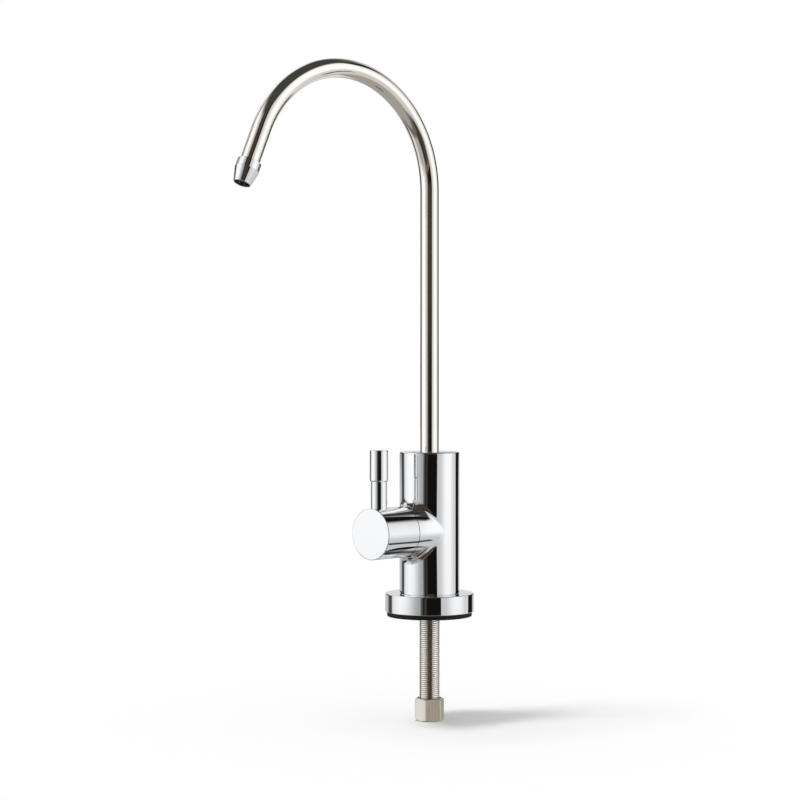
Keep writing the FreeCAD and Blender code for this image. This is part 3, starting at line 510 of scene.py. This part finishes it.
def black_plastic(finishes):
    """Moulded plastic, black and matt."""
    material, shader = new_material("Black plastic", finishes.black_plastic, 0.0, 0.5)
    set_roughness(material, shader, noise(material, 3200.0, 2.0), 0.3, 0.7, 0.44, 0.6)
    return material


def ceramic(finishes):
    """Lapped ceramic, slightly mottled."""
    base = finishes.ceramic
    material, shader = new_material("Lapped ceramic", base, 0.0, 0.22)
    mottle = ranged(material, noise(material, 900.0, 3.0), 0.3, 0.7)
    darker = tuple(0.94 * part for part in base)
    set_colour(material, shader, blended(material.node_tree, mottle, base, darker))
    return material


def spring_steel(finishes):
    """Dark oiled steel."""
    material, shader = new_material("Spring steel", finishes.spring_steel, 1.0, 0.3)
    set_roughness(material, shader, noise(material, 700.0, 4.0), 0.3, 0.7, 0.22, 0.42)
    return material


FINISHES = {
    "chrome": chrome,
    "polished_steel": polished_steel,
    "warm_nickel": warm_nickel,
    "satin_nickel": satin_nickel,
    "black_rubber": black_rubber,
    "brass": brass,
    "white_plastic": white_plastic,
    "black_plastic": black_plastic,
    "ceramic": ceramic,
    "spring_steel": spring_steel,
}
made_finishes = {}


def finish_for(slot):
    """The finish of a material slot of the record, made once."""
    if slot not in made_finishes:
        made_finishes[slot] = FINISHES[slot](bpy.context.scene.tap_finishes)
    return made_finishes[slot]


def slot_of(node):
    """Material slot that the record gives a node."""
    rows = [row for row in frame["record"]["subparts"] if row["node"] == node]
    return rows[0]["material_slot"]


def stand_for(piece, node, body):
    """Put the piece in the place of a node: same body, same slot and that slot's finish."""
    slot = slot_of(node)
    piece.data.materials.append(finish_for(slot))
    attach(piece, body)
    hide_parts(node)
    return piece


# Pieces


class TAP_OT_make_base(bpy.types.Operator):
    """Flange and gasket on the counter, with their edges broken"""

    bl_idname = "tap.make_base"
    bl_label = "Make base"

    def execute(self, context):
        edge = context.scene.tap_sizes.edge_round
        bottom, top = low("base_flange").z, high("base_flange").z
        radius = high("base_flange").x
        passage = high("threaded_shank").x + PASSAGE_GAP
        hub, rim, web = passage + FLANGE_HUB_WALL, radius - FLANGE_RIM, top - FLANGE_WEB
        flange = turned("flange", [
            (passage, bottom, 0), (hub, bottom, edge), (hub, web, 0), (rim, web, 0),
            (rim, bottom, edge), (radius, bottom, 2 * edge), (radius, top, 4 * edge),
            (passage, top, 0),
        ], columns=192)
        stand_for(flange, "base_flange", "tap_body")
        gasket_radius = high("base_gasket").x
        thickness = high("base_gasket").z
        gasket = turned("gasket", [
            (passage, 0, 0), (gasket_radius, 0, GASKET_EDGE), (gasket_radius, thickness, edge),
            (passage, thickness, 0),
        ], columns=192)
        stand_for(gasket, "base_gasket", "tap_body")
        return {"FINISHED"}


class TAP_OT_make_shank(bpy.types.Operator):
    """Threaded shank, with the socket for the supply tube in its lower end"""

    bl_idname = "tap.make_shank"
    bl_label = "Make shank"

    def execute(self, context):
        sizes = context.scene.tap_sizes
        bottom, top = low("threaded_shank").z, high("threaded_shank").z
        crest = high("threaded_shank").x
        pitch, depth = sizes.thread_pitch, sizes.thread_depth
        lead_in = 0.5 * MM
        rows_per_turn, columns = 16, 73
        inner = np.array([
            (SHANK_BORE, top), (SHANK_BORE, bottom + SUPPLY_SOCKET),
            (SUPPLY_BORE, bottom + SUPPLY_SOCKET), (SUPPLY_BORE, bottom + SUPPLY_CONE),
            (SUPPLY_BORE + SUPPLY_CONE, bottom),
        ])

        def thread(height, turn):
            """Radius of the thread: a wave of the height less the turn's share of a pitch.

            It runs from a sharp root to a crest and back once each pitch, with half of the pitch
            cut off flat as the crest, and it sinks under a short cone at the ends of the rod.
            """
            phase = height / pitch - turn / (2 * np.pi)
            wave = np.abs(2 * (phase - np.floor(phase)) - 1)
            wave = np.minimum(2 * wave, 1)
            cone = crest - lead_in + np.minimum(height - bottom, top - height)
            return np.minimum(crest - depth * (1 - wave), cone)

        turn = np.linspace(0, 2 * np.pi, columns)[None]
        height = np.linspace(bottom, top, int((top - bottom) / pitch * rows_per_turn))[:, None]
        radius = thread(height, turn)
        radius = np.concatenate([radius, inner[:, :1] + 0 * turn, radius[:1]])
        height = np.concatenate([height, inner[:, 1:], height[:1]]) + 0 * turn
        points = np.stack([radius * np.cos(turn), radius * np.sin(turn), height], -1)
        shank = new_piece(
            "shank_thread", points.reshape(-1, 3), grid_faces(*radius.shape), math.radians(50)
        )
        stand_for(shank, "threaded_shank", "tap_body")
        return {"FINISHED"}


class TAP_OT_make_nut(bpy.types.Operator):
    """Hexagon compression nut with rounded corners, chamfered ends and a countersunk mouth"""

    bl_idname = "tap.make_nut"
    bl_label = "Make nut"

    def execute(self, context):
        sizes = context.scene.tap_sizes
        bottom, top = low("compression_nut").z, high("compression_nut").z
        thread_hole = high("threaded_shank").x + THREAD_GAP
        sink = sizes.nut_countersink
        rounding = sizes.nut_corner_round
        sixth = math.radians(60)
        # Each sixth runs from one corner to the next, with points crowded at both corners.
        share = np.concatenate([
            np.linspace(0, 0.06, 7), np.linspace(0.09, 0.91, 12), np.linspace(0.94, 1, 7)
        ])[:-1]
        turn = (np.arange(6)[:, None] + share[None]).ravel() * sixth
        turn = np.append(turn, 2 * np.pi)

        def wall(turn):
            """Radius of a hexagon whose corners are arcs.

            From the corner's bisector, the flat's line is at flat / cos(30 degrees - angle). The
            arc's centre lies on the bisector, and the nearer of line and arc counts.
            """
            angle = np.abs((turn + sixth / 2) % sixth - sixth / 2)
            line = NUT_FLAT / np.cos(sixth / 2 - angle)
            centre = (NUT_FLAT - rounding) / math.cos(sixth / 2)
            across = centre * np.sin(angle)
            arc = centre * np.cos(angle) + np.sqrt(np.maximum(rounding ** 2 - across ** 2, 0))
            return np.where(across < rounding, np.minimum(line, arc), line)

        outer = wall(turn)
        chamfer_start = NUT_FLAT - NUT_CHAMFER
        drop = np.maximum(outer - chamfer_start, 0) * math.tan(math.radians(30))
        floor = bottom + NUT_FLOOR
        rows = [
            (SUPPLY_BORE, bottom), (chamfer_start, bottom), (outer, bottom + drop),
            (outer, 0.5 * (bottom + top)), (outer, top - drop), (chamfer_start, top),
            (thread_hole + sink, top), (thread_hole, top - sink), (thread_hole, floor),
            (SUPPLY_BORE, floor), (SUPPLY_BORE, bottom),
        ]
        radius = np.stack([row[0] + 0 * turn for row in rows])
        height = np.stack([row[1] + 0 * turn for row in rows])
        bearing = turn + NUT_TURN
        points = np.stack([radius * np.cos(bearing), radius * np.sin(bearing), height], -1)
        nut = new_piece("hexagon_nut", points.reshape(-1, 3), grid_faces(*radius.shape))
        stand_for(even_shading(nut), "compression_nut", "tap_body")
        return {"FINISHED"}


class TAP_OT_make_spout(bpy.types.Operator):
    """Gooseneck tube: a straight rise, one large bend and a straight end"""

    bl_idname = "tap.make_spout"
    bl_label = "Make spout"

    def execute(self, context):
        bend_radius, bend_angle, straight, swivel = spout_form()
        foot = low("spout_tube").z
        bend_start = high("spout_tube").z - TUBE_RADIUS - bend_radius
        tail = straight - COLLAR_LENGTH - TIP_LENGTH + TUBE_GRIP
        rise = bend_start - foot
        bend = bend_radius * bend_angle
        rise_rows, bend_rows, tail_rows, columns = 40, 220, 12, 65
        stations = np.concatenate([
            np.linspace(0, rise, rise_rows)[:-1],
            np.linspace(rise, rise + bend, bend_rows)[:-1],
            np.linspace(rise + bend, rise + bend + tail, tail_rows),
        ])

        across = np.array((math.cos(swivel), math.sin(swivel), 0.0))
        back = np.array((-across[1], across[0], 0.0))
        upward = np.array((0.0, 0.0, 1.0))

        def path(length):
            """Place and outward direction of the tube's centre line at a length along it.

            Up to the bend it is a point on Z. In the bend it turns about a centre at the bend's
            radius from Z, and past the bend it runs on along the last tangent.
            """
            angle = np.clip((length - rise) / bend_radius, 0, bend_angle)[:, None]
            outward = np.cos(angle) * back + np.sin(angle) * upward
            ahead = np.cos(angle) * upward - np.sin(angle) * back
            before = np.minimum(length - rise, 0)
            after = np.maximum(length - rise - bend, 0)
            centre = bend_start * upward - bend_radius * back
            return centre + bend_radius * outward + (before + after)[:, None] * ahead, outward

        stations = np.concatenate([stations, stations[::-1], stations[:1]])
        half = len(stations) // 2
        radius = np.where(np.arange(len(stations)) < half, TUBE_RADIUS, TUBE_BORE)
        radius[-1] = TUBE_RADIUS
        middle, outward = path(stations)
        turn = np.linspace(0, 2 * np.pi, columns)[None, :, None]
        ring = np.cos(turn) * outward[:, None] + np.sin(turn) * across
        points = middle[:, None] + radius[:, None, None] * ring
        tube = new_piece("gooseneck", points.reshape(-1, 3), grid_faces(len(stations), columns))
        stand_for(tube, "spout_tube", "spout")
        return {"FINISHED"}


class TAP_OT_make_bush(bpy.types.Operator):
    """Ring round the tube, flush with the top of the body"""

    bl_idname = "tap.make_bush"
    bl_label = "Make bush"

    def execute(self, context):
        edge = context.scene.tap_sizes.edge_round
        bottom, top = low("spout_bush").z, high("spout_bush").z
        outer, inner = high("spout_bush").x, TUBE_RADIUS + BUSH_GAP
        bush = turned("tube_bush", [
            (inner, bottom, 0), (outer, bottom, 0), (outer, top, edge), (inner, top, 2 * edge),
        ])
        stand_for(bush, "spout_bush", "tap_body")
        return {"FINISHED"}


class TAP_OT_make_nozzle(bpy.types.Operator):
    """Collar and tapered tip on the end of the tube"""

    bl_idname = "tap.make_nozzle"
    bl_label = "Make nozzle"

    def execute(self, context):
        edge = context.scene.tap_sizes.edge_round
        place, axis = spout_outlet()
        end = place - (COLLAR_LENGTH + TIP_LENGTH) * axis
        collar_foot, tip_foot = -COLLAR_LENGTH, -COLLAR_LENGTH - TIP_LENGTH
        spigot_foot = collar_foot - SPIGOT_LENGTH
        collar = turned("nozzle_ring", [
            (TUBE_SOCKET, 0, edge), (COLLAR_RADIUS, 0, edge),
            (COLLAR_RADIUS, collar_foot, 0.6 * edge), (SPIGOT_RADIUS, collar_foot, 0),
            (SPIGOT_RADIUS, spigot_foot, edge), (TUBE_BORE, spigot_foot, 0),
            (TUBE_BORE, -TUBE_GRIP, 0), (TUBE_SOCKET, -TUBE_GRIP, 0),
        ], end, -axis)
        stand_for(collar, "nozzle_collar", "spout")
        hole = SPIGOT_RADIUS + THREAD_GAP
        ledge = spigot_foot - NOZZLE_SEAL
        seat = ledge - INSERT_LENGTH
        tip = turned("nozzle_cone", [
            (hole, collar_foot, 0), (TIP_RADIUS, collar_foot, 0.6 * edge),
            (LIP_RADIUS, tip_foot, 0.8 * edge), (MOUTH_RADIUS, tip_foot, 0.8 * edge),
            (MOUTH_RADIUS, seat, 0), (INSERT_RADIUS, seat, 0), (INSERT_RADIUS, ledge, 0),
            (hole, ledge, 0),
        ], end, -axis)
        stand_for(tip, "nozzle_tip", "spout")
        return {"FINISHED"}


class TAP_OT_make_lever(bpy.types.Operator):
    """Pin and grip of the lever"""

    bl_idname = "tap.make_lever"
    bl_label = "Make lever"

    def execute(self, context):
        edge = context.scene.tap_sizes.edge_round
        middle = (low("lever_pin") + high("lever_pin")) / 2
        stand = (0.0, middle.y, 0.0)
        root, stud_top = low("lever_pin").z, high("lever_pin").z
        joint, top = low("lever_grip").z, high("lever_grip").z
        pin_radius, foot_radius = high("lever_pin").x, high("lever_grip").x
        pin = turned("lever_stem", [
            (0, root, 0), (pin_radius, root, edge), (pin_radius, joint, edge),
            (LEVER_STUD, joint, 0), (LEVER_STUD, stud_top, edge), (0, stud_top, 0),
        ], stand)
        stand_for(pin, "lever_pin", "handle")
        hole, hole_top = LEVER_STUD + THREAD_GAP, stud_top + THREAD_GAP
        grip = turned("lever_handle", [
            (hole, joint, 0), (foot_radius - GRIP_FOOT, joint, edge),
            (foot_radius, joint + GRIP_FOOT, edge), (foot_radius - GRIP_STEP, top, 1.5 * edge),
            (0, top, 0), (0, hole_top, 0), (hole, hole_top, 0),
        ], stand)
        stand_for(grip, "lever_grip", "handle")
        return {"FINISHED"}


class TAP_OT_finish_nodes(bpy.types.Operator):
    """Finishes on the nodes that show as they are: body, knob and all inner parts"""

    bl_idname = "tap.finish_nodes"
    bl_label = "Finish nodes"

    def execute(self, context):
        for name, node in NODES.items():
            slot = slot_of(name)
            for place in node.material_slots:
                place.link = "OBJECT"
                place.material = finish_for(slot)
        return {"FINISHED"}


# Studio


def panel_group():
    """Node group that gives how far a direction lies on one panel of the studio.

    Sideways it is 1 up to the panel's half width from its centre, and falls to 0 over the side
    fade. Upwards it rises to 1 at the foot and falls from the head, over the end fade.
    """
    group = bpy.data.node_groups.new("Studio panel", "ShaderNodeTree")
    names = ("Bearing", "Rise", "Centre", "Half width", "Side fade", "Foot", "Head", "End fade")
    for name in names:
        group.interface.new_socket(name, in_out="INPUT", socket_type="NodeSocketFloat")
    group.interface.new_socket("Cover", in_out="OUTPUT", socket_type="NodeSocketFloat")
    given = group.nodes.new("NodeGroupInput").outputs
    result = group.nodes.new("NodeGroupOutput").inputs

    def faded(value, start, end, backwards=False):
        node = group.nodes.new("ShaderNodeMapRange")
        node.interpolation_type = "SMOOTHSTEP"
        for socket, source in (("Value", value), ("From Min", start), ("From Max", end)):
            group.links.new(source, node.inputs[socket])
        node.inputs["To Min"].default_value = float(backwards)
        node.inputs["To Max"].default_value = float(not backwards)
        return node.outputs["Result"]

    away = computed(group, "SUBTRACT", given["Bearing"], given["Centre"])
    away = computed(group, "ABSOLUTE", computed(group, "WRAP", away, 180.0, -180.0))
    edge = computed(group, "ADD", given["Half width"], given["Side fade"])
    below = computed(group, "SUBTRACT", given["Foot"], given["End fade"])
    above = computed(group, "ADD", given["Head"], given["End fade"])
    sideways = faded(away, given["Half width"], edge, backwards=True)
    upwards = faded(given["Rise"], below, given["Foot"])
    downwards = faded(given["Rise"], given["Head"], above, backwards=True)
    cover = computed(group, "MULTIPLY", computed(group, "MULTIPLY", sideways, upwards), downwards)
    group.links.new(cover, result["Cover"])
    return group


# What the metal mirrors, from the back of the pile to its front. Bearings run round the tap from
# the camera, positive to its right, and rises above the horizon, all in degrees:
# name, centre, half width, side fade, foot, head, end fade, (red, green, blue). The wall is what
# no panel covers.
PANELS = (
    ("table", 0, 180, 1, -90, -50, 6, (0.36, 0.34, 0.32)),
    ("table's edge", -60, 45, 16, -50, -44, 5, (0.17, 0.14, 0.115)),
    ("right table's edge", 100, 22, 12, -50, -40, 6, (0.46, 0.41, 0.30)),
    ("ceiling", 0, 180, 1, 44, 90, 10, (0.050, 0.049, 0.046)),
    ("back", 180, 60, 8, -1, 52, 3, (0.10, 0.097, 0.092)),
    ("right back", 144, 15, 8, -1, 14, 4, (0.014, 0.013, 0.012)),
    ("right back, above", 152, 20, 10, 26, 42, 7, (0.50, 0.50, 0.50)),
    ("left back, above", -150, 16, 10, 26, 42, 7, (0.86, 0.87, 0.88)),
    ("cove", 180, 13, 10, 2, 34, 2, (0.72, 0.73, 0.75)),
    ("low cove", -176, 30, 12, -9, -3.5, 2.5, (0.58, 0.59, 0.60)),
    ("right back, below", 146, 24, 10, -40, -14, 6, (0.70, 0.70, 0.70)),
    ("right card", 130, 13, 8, -12, 12, 3, (0.010, 0.009, 0.008)),
    ("left card", -121, 5, 14, -34, 14, 6, (0.035, 0.033, 0.028)),
    ("left light", -69, 43.5, 2, -40, 50, 6, (0.38, 0.39, 0.40)),
    ("left light's far side", -95, 17.5, 3, -36, 48, 8, (0.68, 0.69, 0.70)),
    ("left light's middle", -77, 5, 46, 0, 40, 24, (1.08, 1.08, 1.08)),
    ("gap", 3, 26, 2, -48, 46, 10, (0.13, 0.125, 0.115)),
    ("dark of the gap", 8, 23, 8, -32, 44, 12, (0.006, 0.0055, 0.005)),
    ("seam in the gap", -11, 1, 4, -40, 40, 5, (0.045, 0.043, 0.036)),
    ("brown above the gap", 2, 12, 8, 3, 60, 5, (0.055, 0.041, 0.029)),
    ("right light", 74.5, 44.5, 1, -42, 38, 8, (0.60, 0.61, 0.62)),
    ("right light's middle", 76, 6, 34, 0, 24, 24, (1.06, 1.06, 1.06)),
    ("right light's far side", 112, 5, 3, -12, 20, 8, (0.72, 0.72, 0.72)),
    ("right light's valance", 114, 16, 7, 37.5, 41.5, 8, (0.005, 0.005, 0.005)),
    ("right light's sill", 102, 12, 4, -31, -28, 2, (0.06, 0.05, 0.04)),
    ("brown below the gap", -4, 22, 10, -14, -9.5, 2, (0.19, 0.13, 0.078)),
    ("dark below the gap", 18, 16, 12, -32, -17, 7, (0.060, 0.048, 0.036)),
)
WALL = (0.36, 0.36, 0.37)


class TAP_OT_make_studio(bpy.types.Operator):
    """Floor, soft light, the studio that the metal mirrors, and the camera"""

    bl_idname = "tap.make_studio"
    bl_label = "Make studio"

    def execute(self, context):
        studio = context.scene.tap_studio
        self.make_world(context, studio)
        self.make_floor(context)
        self.make_key(context, studio)
        self.make_camera(context, studio)
        context.scene.view_settings.view_transform = "Standard"
        return {"FINISHED"}

    def make_world(self, context, studio):
        """White for the camera, even light for dull surfaces, panels for mirrors."""
        world = bpy.data.worlds.new("Studio")
        context.scene.world = world
        world.use_nodes = True
        tree = world.node_tree
        nodes, links = tree.nodes, tree.links
        nodes.clear()
        direction = nodes.new("ShaderNodeTexCoord")
        turn = nodes.new("ShaderNodeVectorRotate")
        turn.rotation_type = "Z_AXIS"
        turn.inputs["Angle"].default_value = -studio.camera_bearing
        links.new(direction.outputs["Generated"], turn.inputs["Vector"])
        split = nodes.new("ShaderNodeSeparateXYZ")
        links.new(turn.outputs["Vector"], split.inputs["Vector"])
        along = split.outputs
        bearing = computed(tree, "DEGREES", computed(tree, "ARCTAN2", along["Y"], along["X"]))
        rise = computed(tree, "DEGREES", computed(tree, "ARCSINE", along["Z"]))
        group = panel_group()
        seen = WALL
        for name, *numbers, tone in PANELS:
            panel = nodes.new("ShaderNodeGroup")
            panel.node_tree = group
            panel.label = name
            for socket, value in zip(panel.inputs, (bearing, rise, *numbers)):
                fed(tree, socket, value)
            seen = blended(tree, panel.outputs["Cover"], seen, tone)

        def background(tone, strength=1.0):
            node = nodes.new("ShaderNodeBackground")
            node.inputs["Strength"].default_value = strength
            fed(tree, node.inputs["Color"], tone)
            return node.outputs["Background"]

        def chosen(factor, no, yes):
            node = nodes.new("ShaderNodeMixShader")
            for socket, source in zip(node.inputs, (factor, no, yes)):
                links.new(source, socket)
            return node.outputs["Shader"]

        white = (1.0, 1.0, 1.0)
        ray = nodes.new("ShaderNodeLightPath").outputs
        mirrored = chosen(
            ray["Is Glossy Ray"], background(white, studio.room_light), background(seen)
        )
        through = computed(tree, "MAXIMUM", ray["Is Camera Ray"], ray["Is Transmission Ray"])
        output = nodes.new("ShaderNodeOutputWorld")
        links.new(chosen(through, mirrored, background(white)), output.inputs["Surface"])

    def make_floor(self, context):
        """Round pale floor just under the nut."""
        height = low("compression_nut").z - 0.2 * MM
        reach = 6.0
        turn = np.linspace(0, 2 * np.pi, 97)[:-1]
        points = np.stack([reach * np.cos(turn), reach * np.sin(turn), 0 * turn + height], -1)
        mesh = bpy.data.meshes.new("floor")
        mesh.from_pydata(points.tolist(), [], [list(range(len(points)))])
        floor = bpy.data.objects.new("floor", mesh)
        context.scene.collection.objects.link(floor)
        material, shader = new_material("Pale floor", (1.0, 1.0, 1.0), 0.0, 1.0)
        shader.inputs["Specular IOR Level"].default_value = 0.0
        mesh.materials.append(material)
        floor.visible_glossy = False

    def make_key(self, context, studio):
        """Broad light high on the left, which gives the soft shadow."""
        lamp = bpy.data.lights.new("Key", "SUN")
        lamp.energy = studio.key_light
        lamp.angle = math.radians(14)
        key = bpy.data.objects.new("Key", lamp)
        context.scene.collection.objects.link(key)
        bearing = studio.camera_bearing - math.radians(70)
        rise = math.radians(68)
        toward = Vector((
            math.cos(bearing) * math.cos(rise), math.sin(bearing) * math.cos(rise), math.sin(rise),
        ))
        key.rotation_euler = toward.to_track_quat("Z", "Y").to_euler()
        key.visible_glossy = False

    def make_camera(self, context, studio):
        """Camera at eye level with the lower part of the spout."""
        lens = bpy.data.cameras.new("Camera")
        lens.lens = studio.lens
        lens.sensor_width = 36.0
        lens.clip_start = 0.01
        lens.clip_end = 100.0
        camera = bpy.data.objects.new("Camera", lens)
        context.scene.collection.objects.link(camera)
        bearing = studio.camera_bearing
        toward = Vector((math.cos(bearing), math.sin(bearing), 0.0))
        right = Vector((-toward.y, toward.x, 0.0))
        place = toward * studio.camera_distance - right * studio.camera_left
        camera.location = (place.x, place.y, studio.camera_height)
        look = -toward * math.cos(studio.camera_tilt)
        look.z = -math.sin(studio.camera_tilt)
        camera.rotation_euler = look.to_track_quat("-Z", "Y").to_euler()
        context.scene.camera = camera


class TAP_PT_tap(bpy.types.Panel):
    """Lists the sizes, the finishes, the studio and the operators"""

    bl_label = "Drinking-water tap"
    bl_space_type = "VIEW_3D"
    bl_region_type = "UI"
    bl_category = "Tap"

    def draw(self, context):
        scene = context.scene
        for group in (scene.tap_sizes, scene.tap_finishes, scene.tap_studio):
            box = self.layout.box()
            for name in group.bl_rna.properties.keys():
                if name not in ("rna_type", "name"):
                    box.prop(group, name)
        for operator in OPERATORS:
            self.layout.operator(operator.bl_idname)


SETTINGS = {"tap_sizes": TapSizes, "tap_finishes": TapFinishes, "tap_studio": StudioSettings}
OPERATORS = (
    TAP_OT_finish_nodes,
    TAP_OT_make_base,
    TAP_OT_make_shank,
    TAP_OT_make_nut,
    TAP_OT_make_spout,
    TAP_OT_make_bush,
    TAP_OT_make_nozzle,
    TAP_OT_make_lever,
    TAP_OT_make_studio,
)


def register():
    for name, group in SETTINGS.items():
        bpy.utils.register_class(group)
        setattr(bpy.types.Scene, name, PointerProperty(type=group))
    for item in (*OPERATORS, TAP_PT_tap):
        bpy.utils.register_class(item)


def unregister():
    for item in reversed((*OPERATORS, TAP_PT_tap)):
        bpy.utils.unregister_class(item)
    for name, group in reversed(SETTINGS.items()):
        delattr(bpy.types.Scene, name)
        bpy.utils.unregister_class(group)


def main():
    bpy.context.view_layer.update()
    register()
    bpy.ops.tap.finish_nodes()
    bpy.ops.tap.make_base()
    bpy.ops.tap.make_shank()
    bpy.ops.tap.make_nut()
    bpy.ops.tap.make_spout()
    bpy.ops.tap.make_bush()
    bpy.ops.tap.make_nozzle()
    bpy.ops.tap.make_lever()
    bpy.ops.tap.make_studio()


if __name__ == "__main__":
    main()
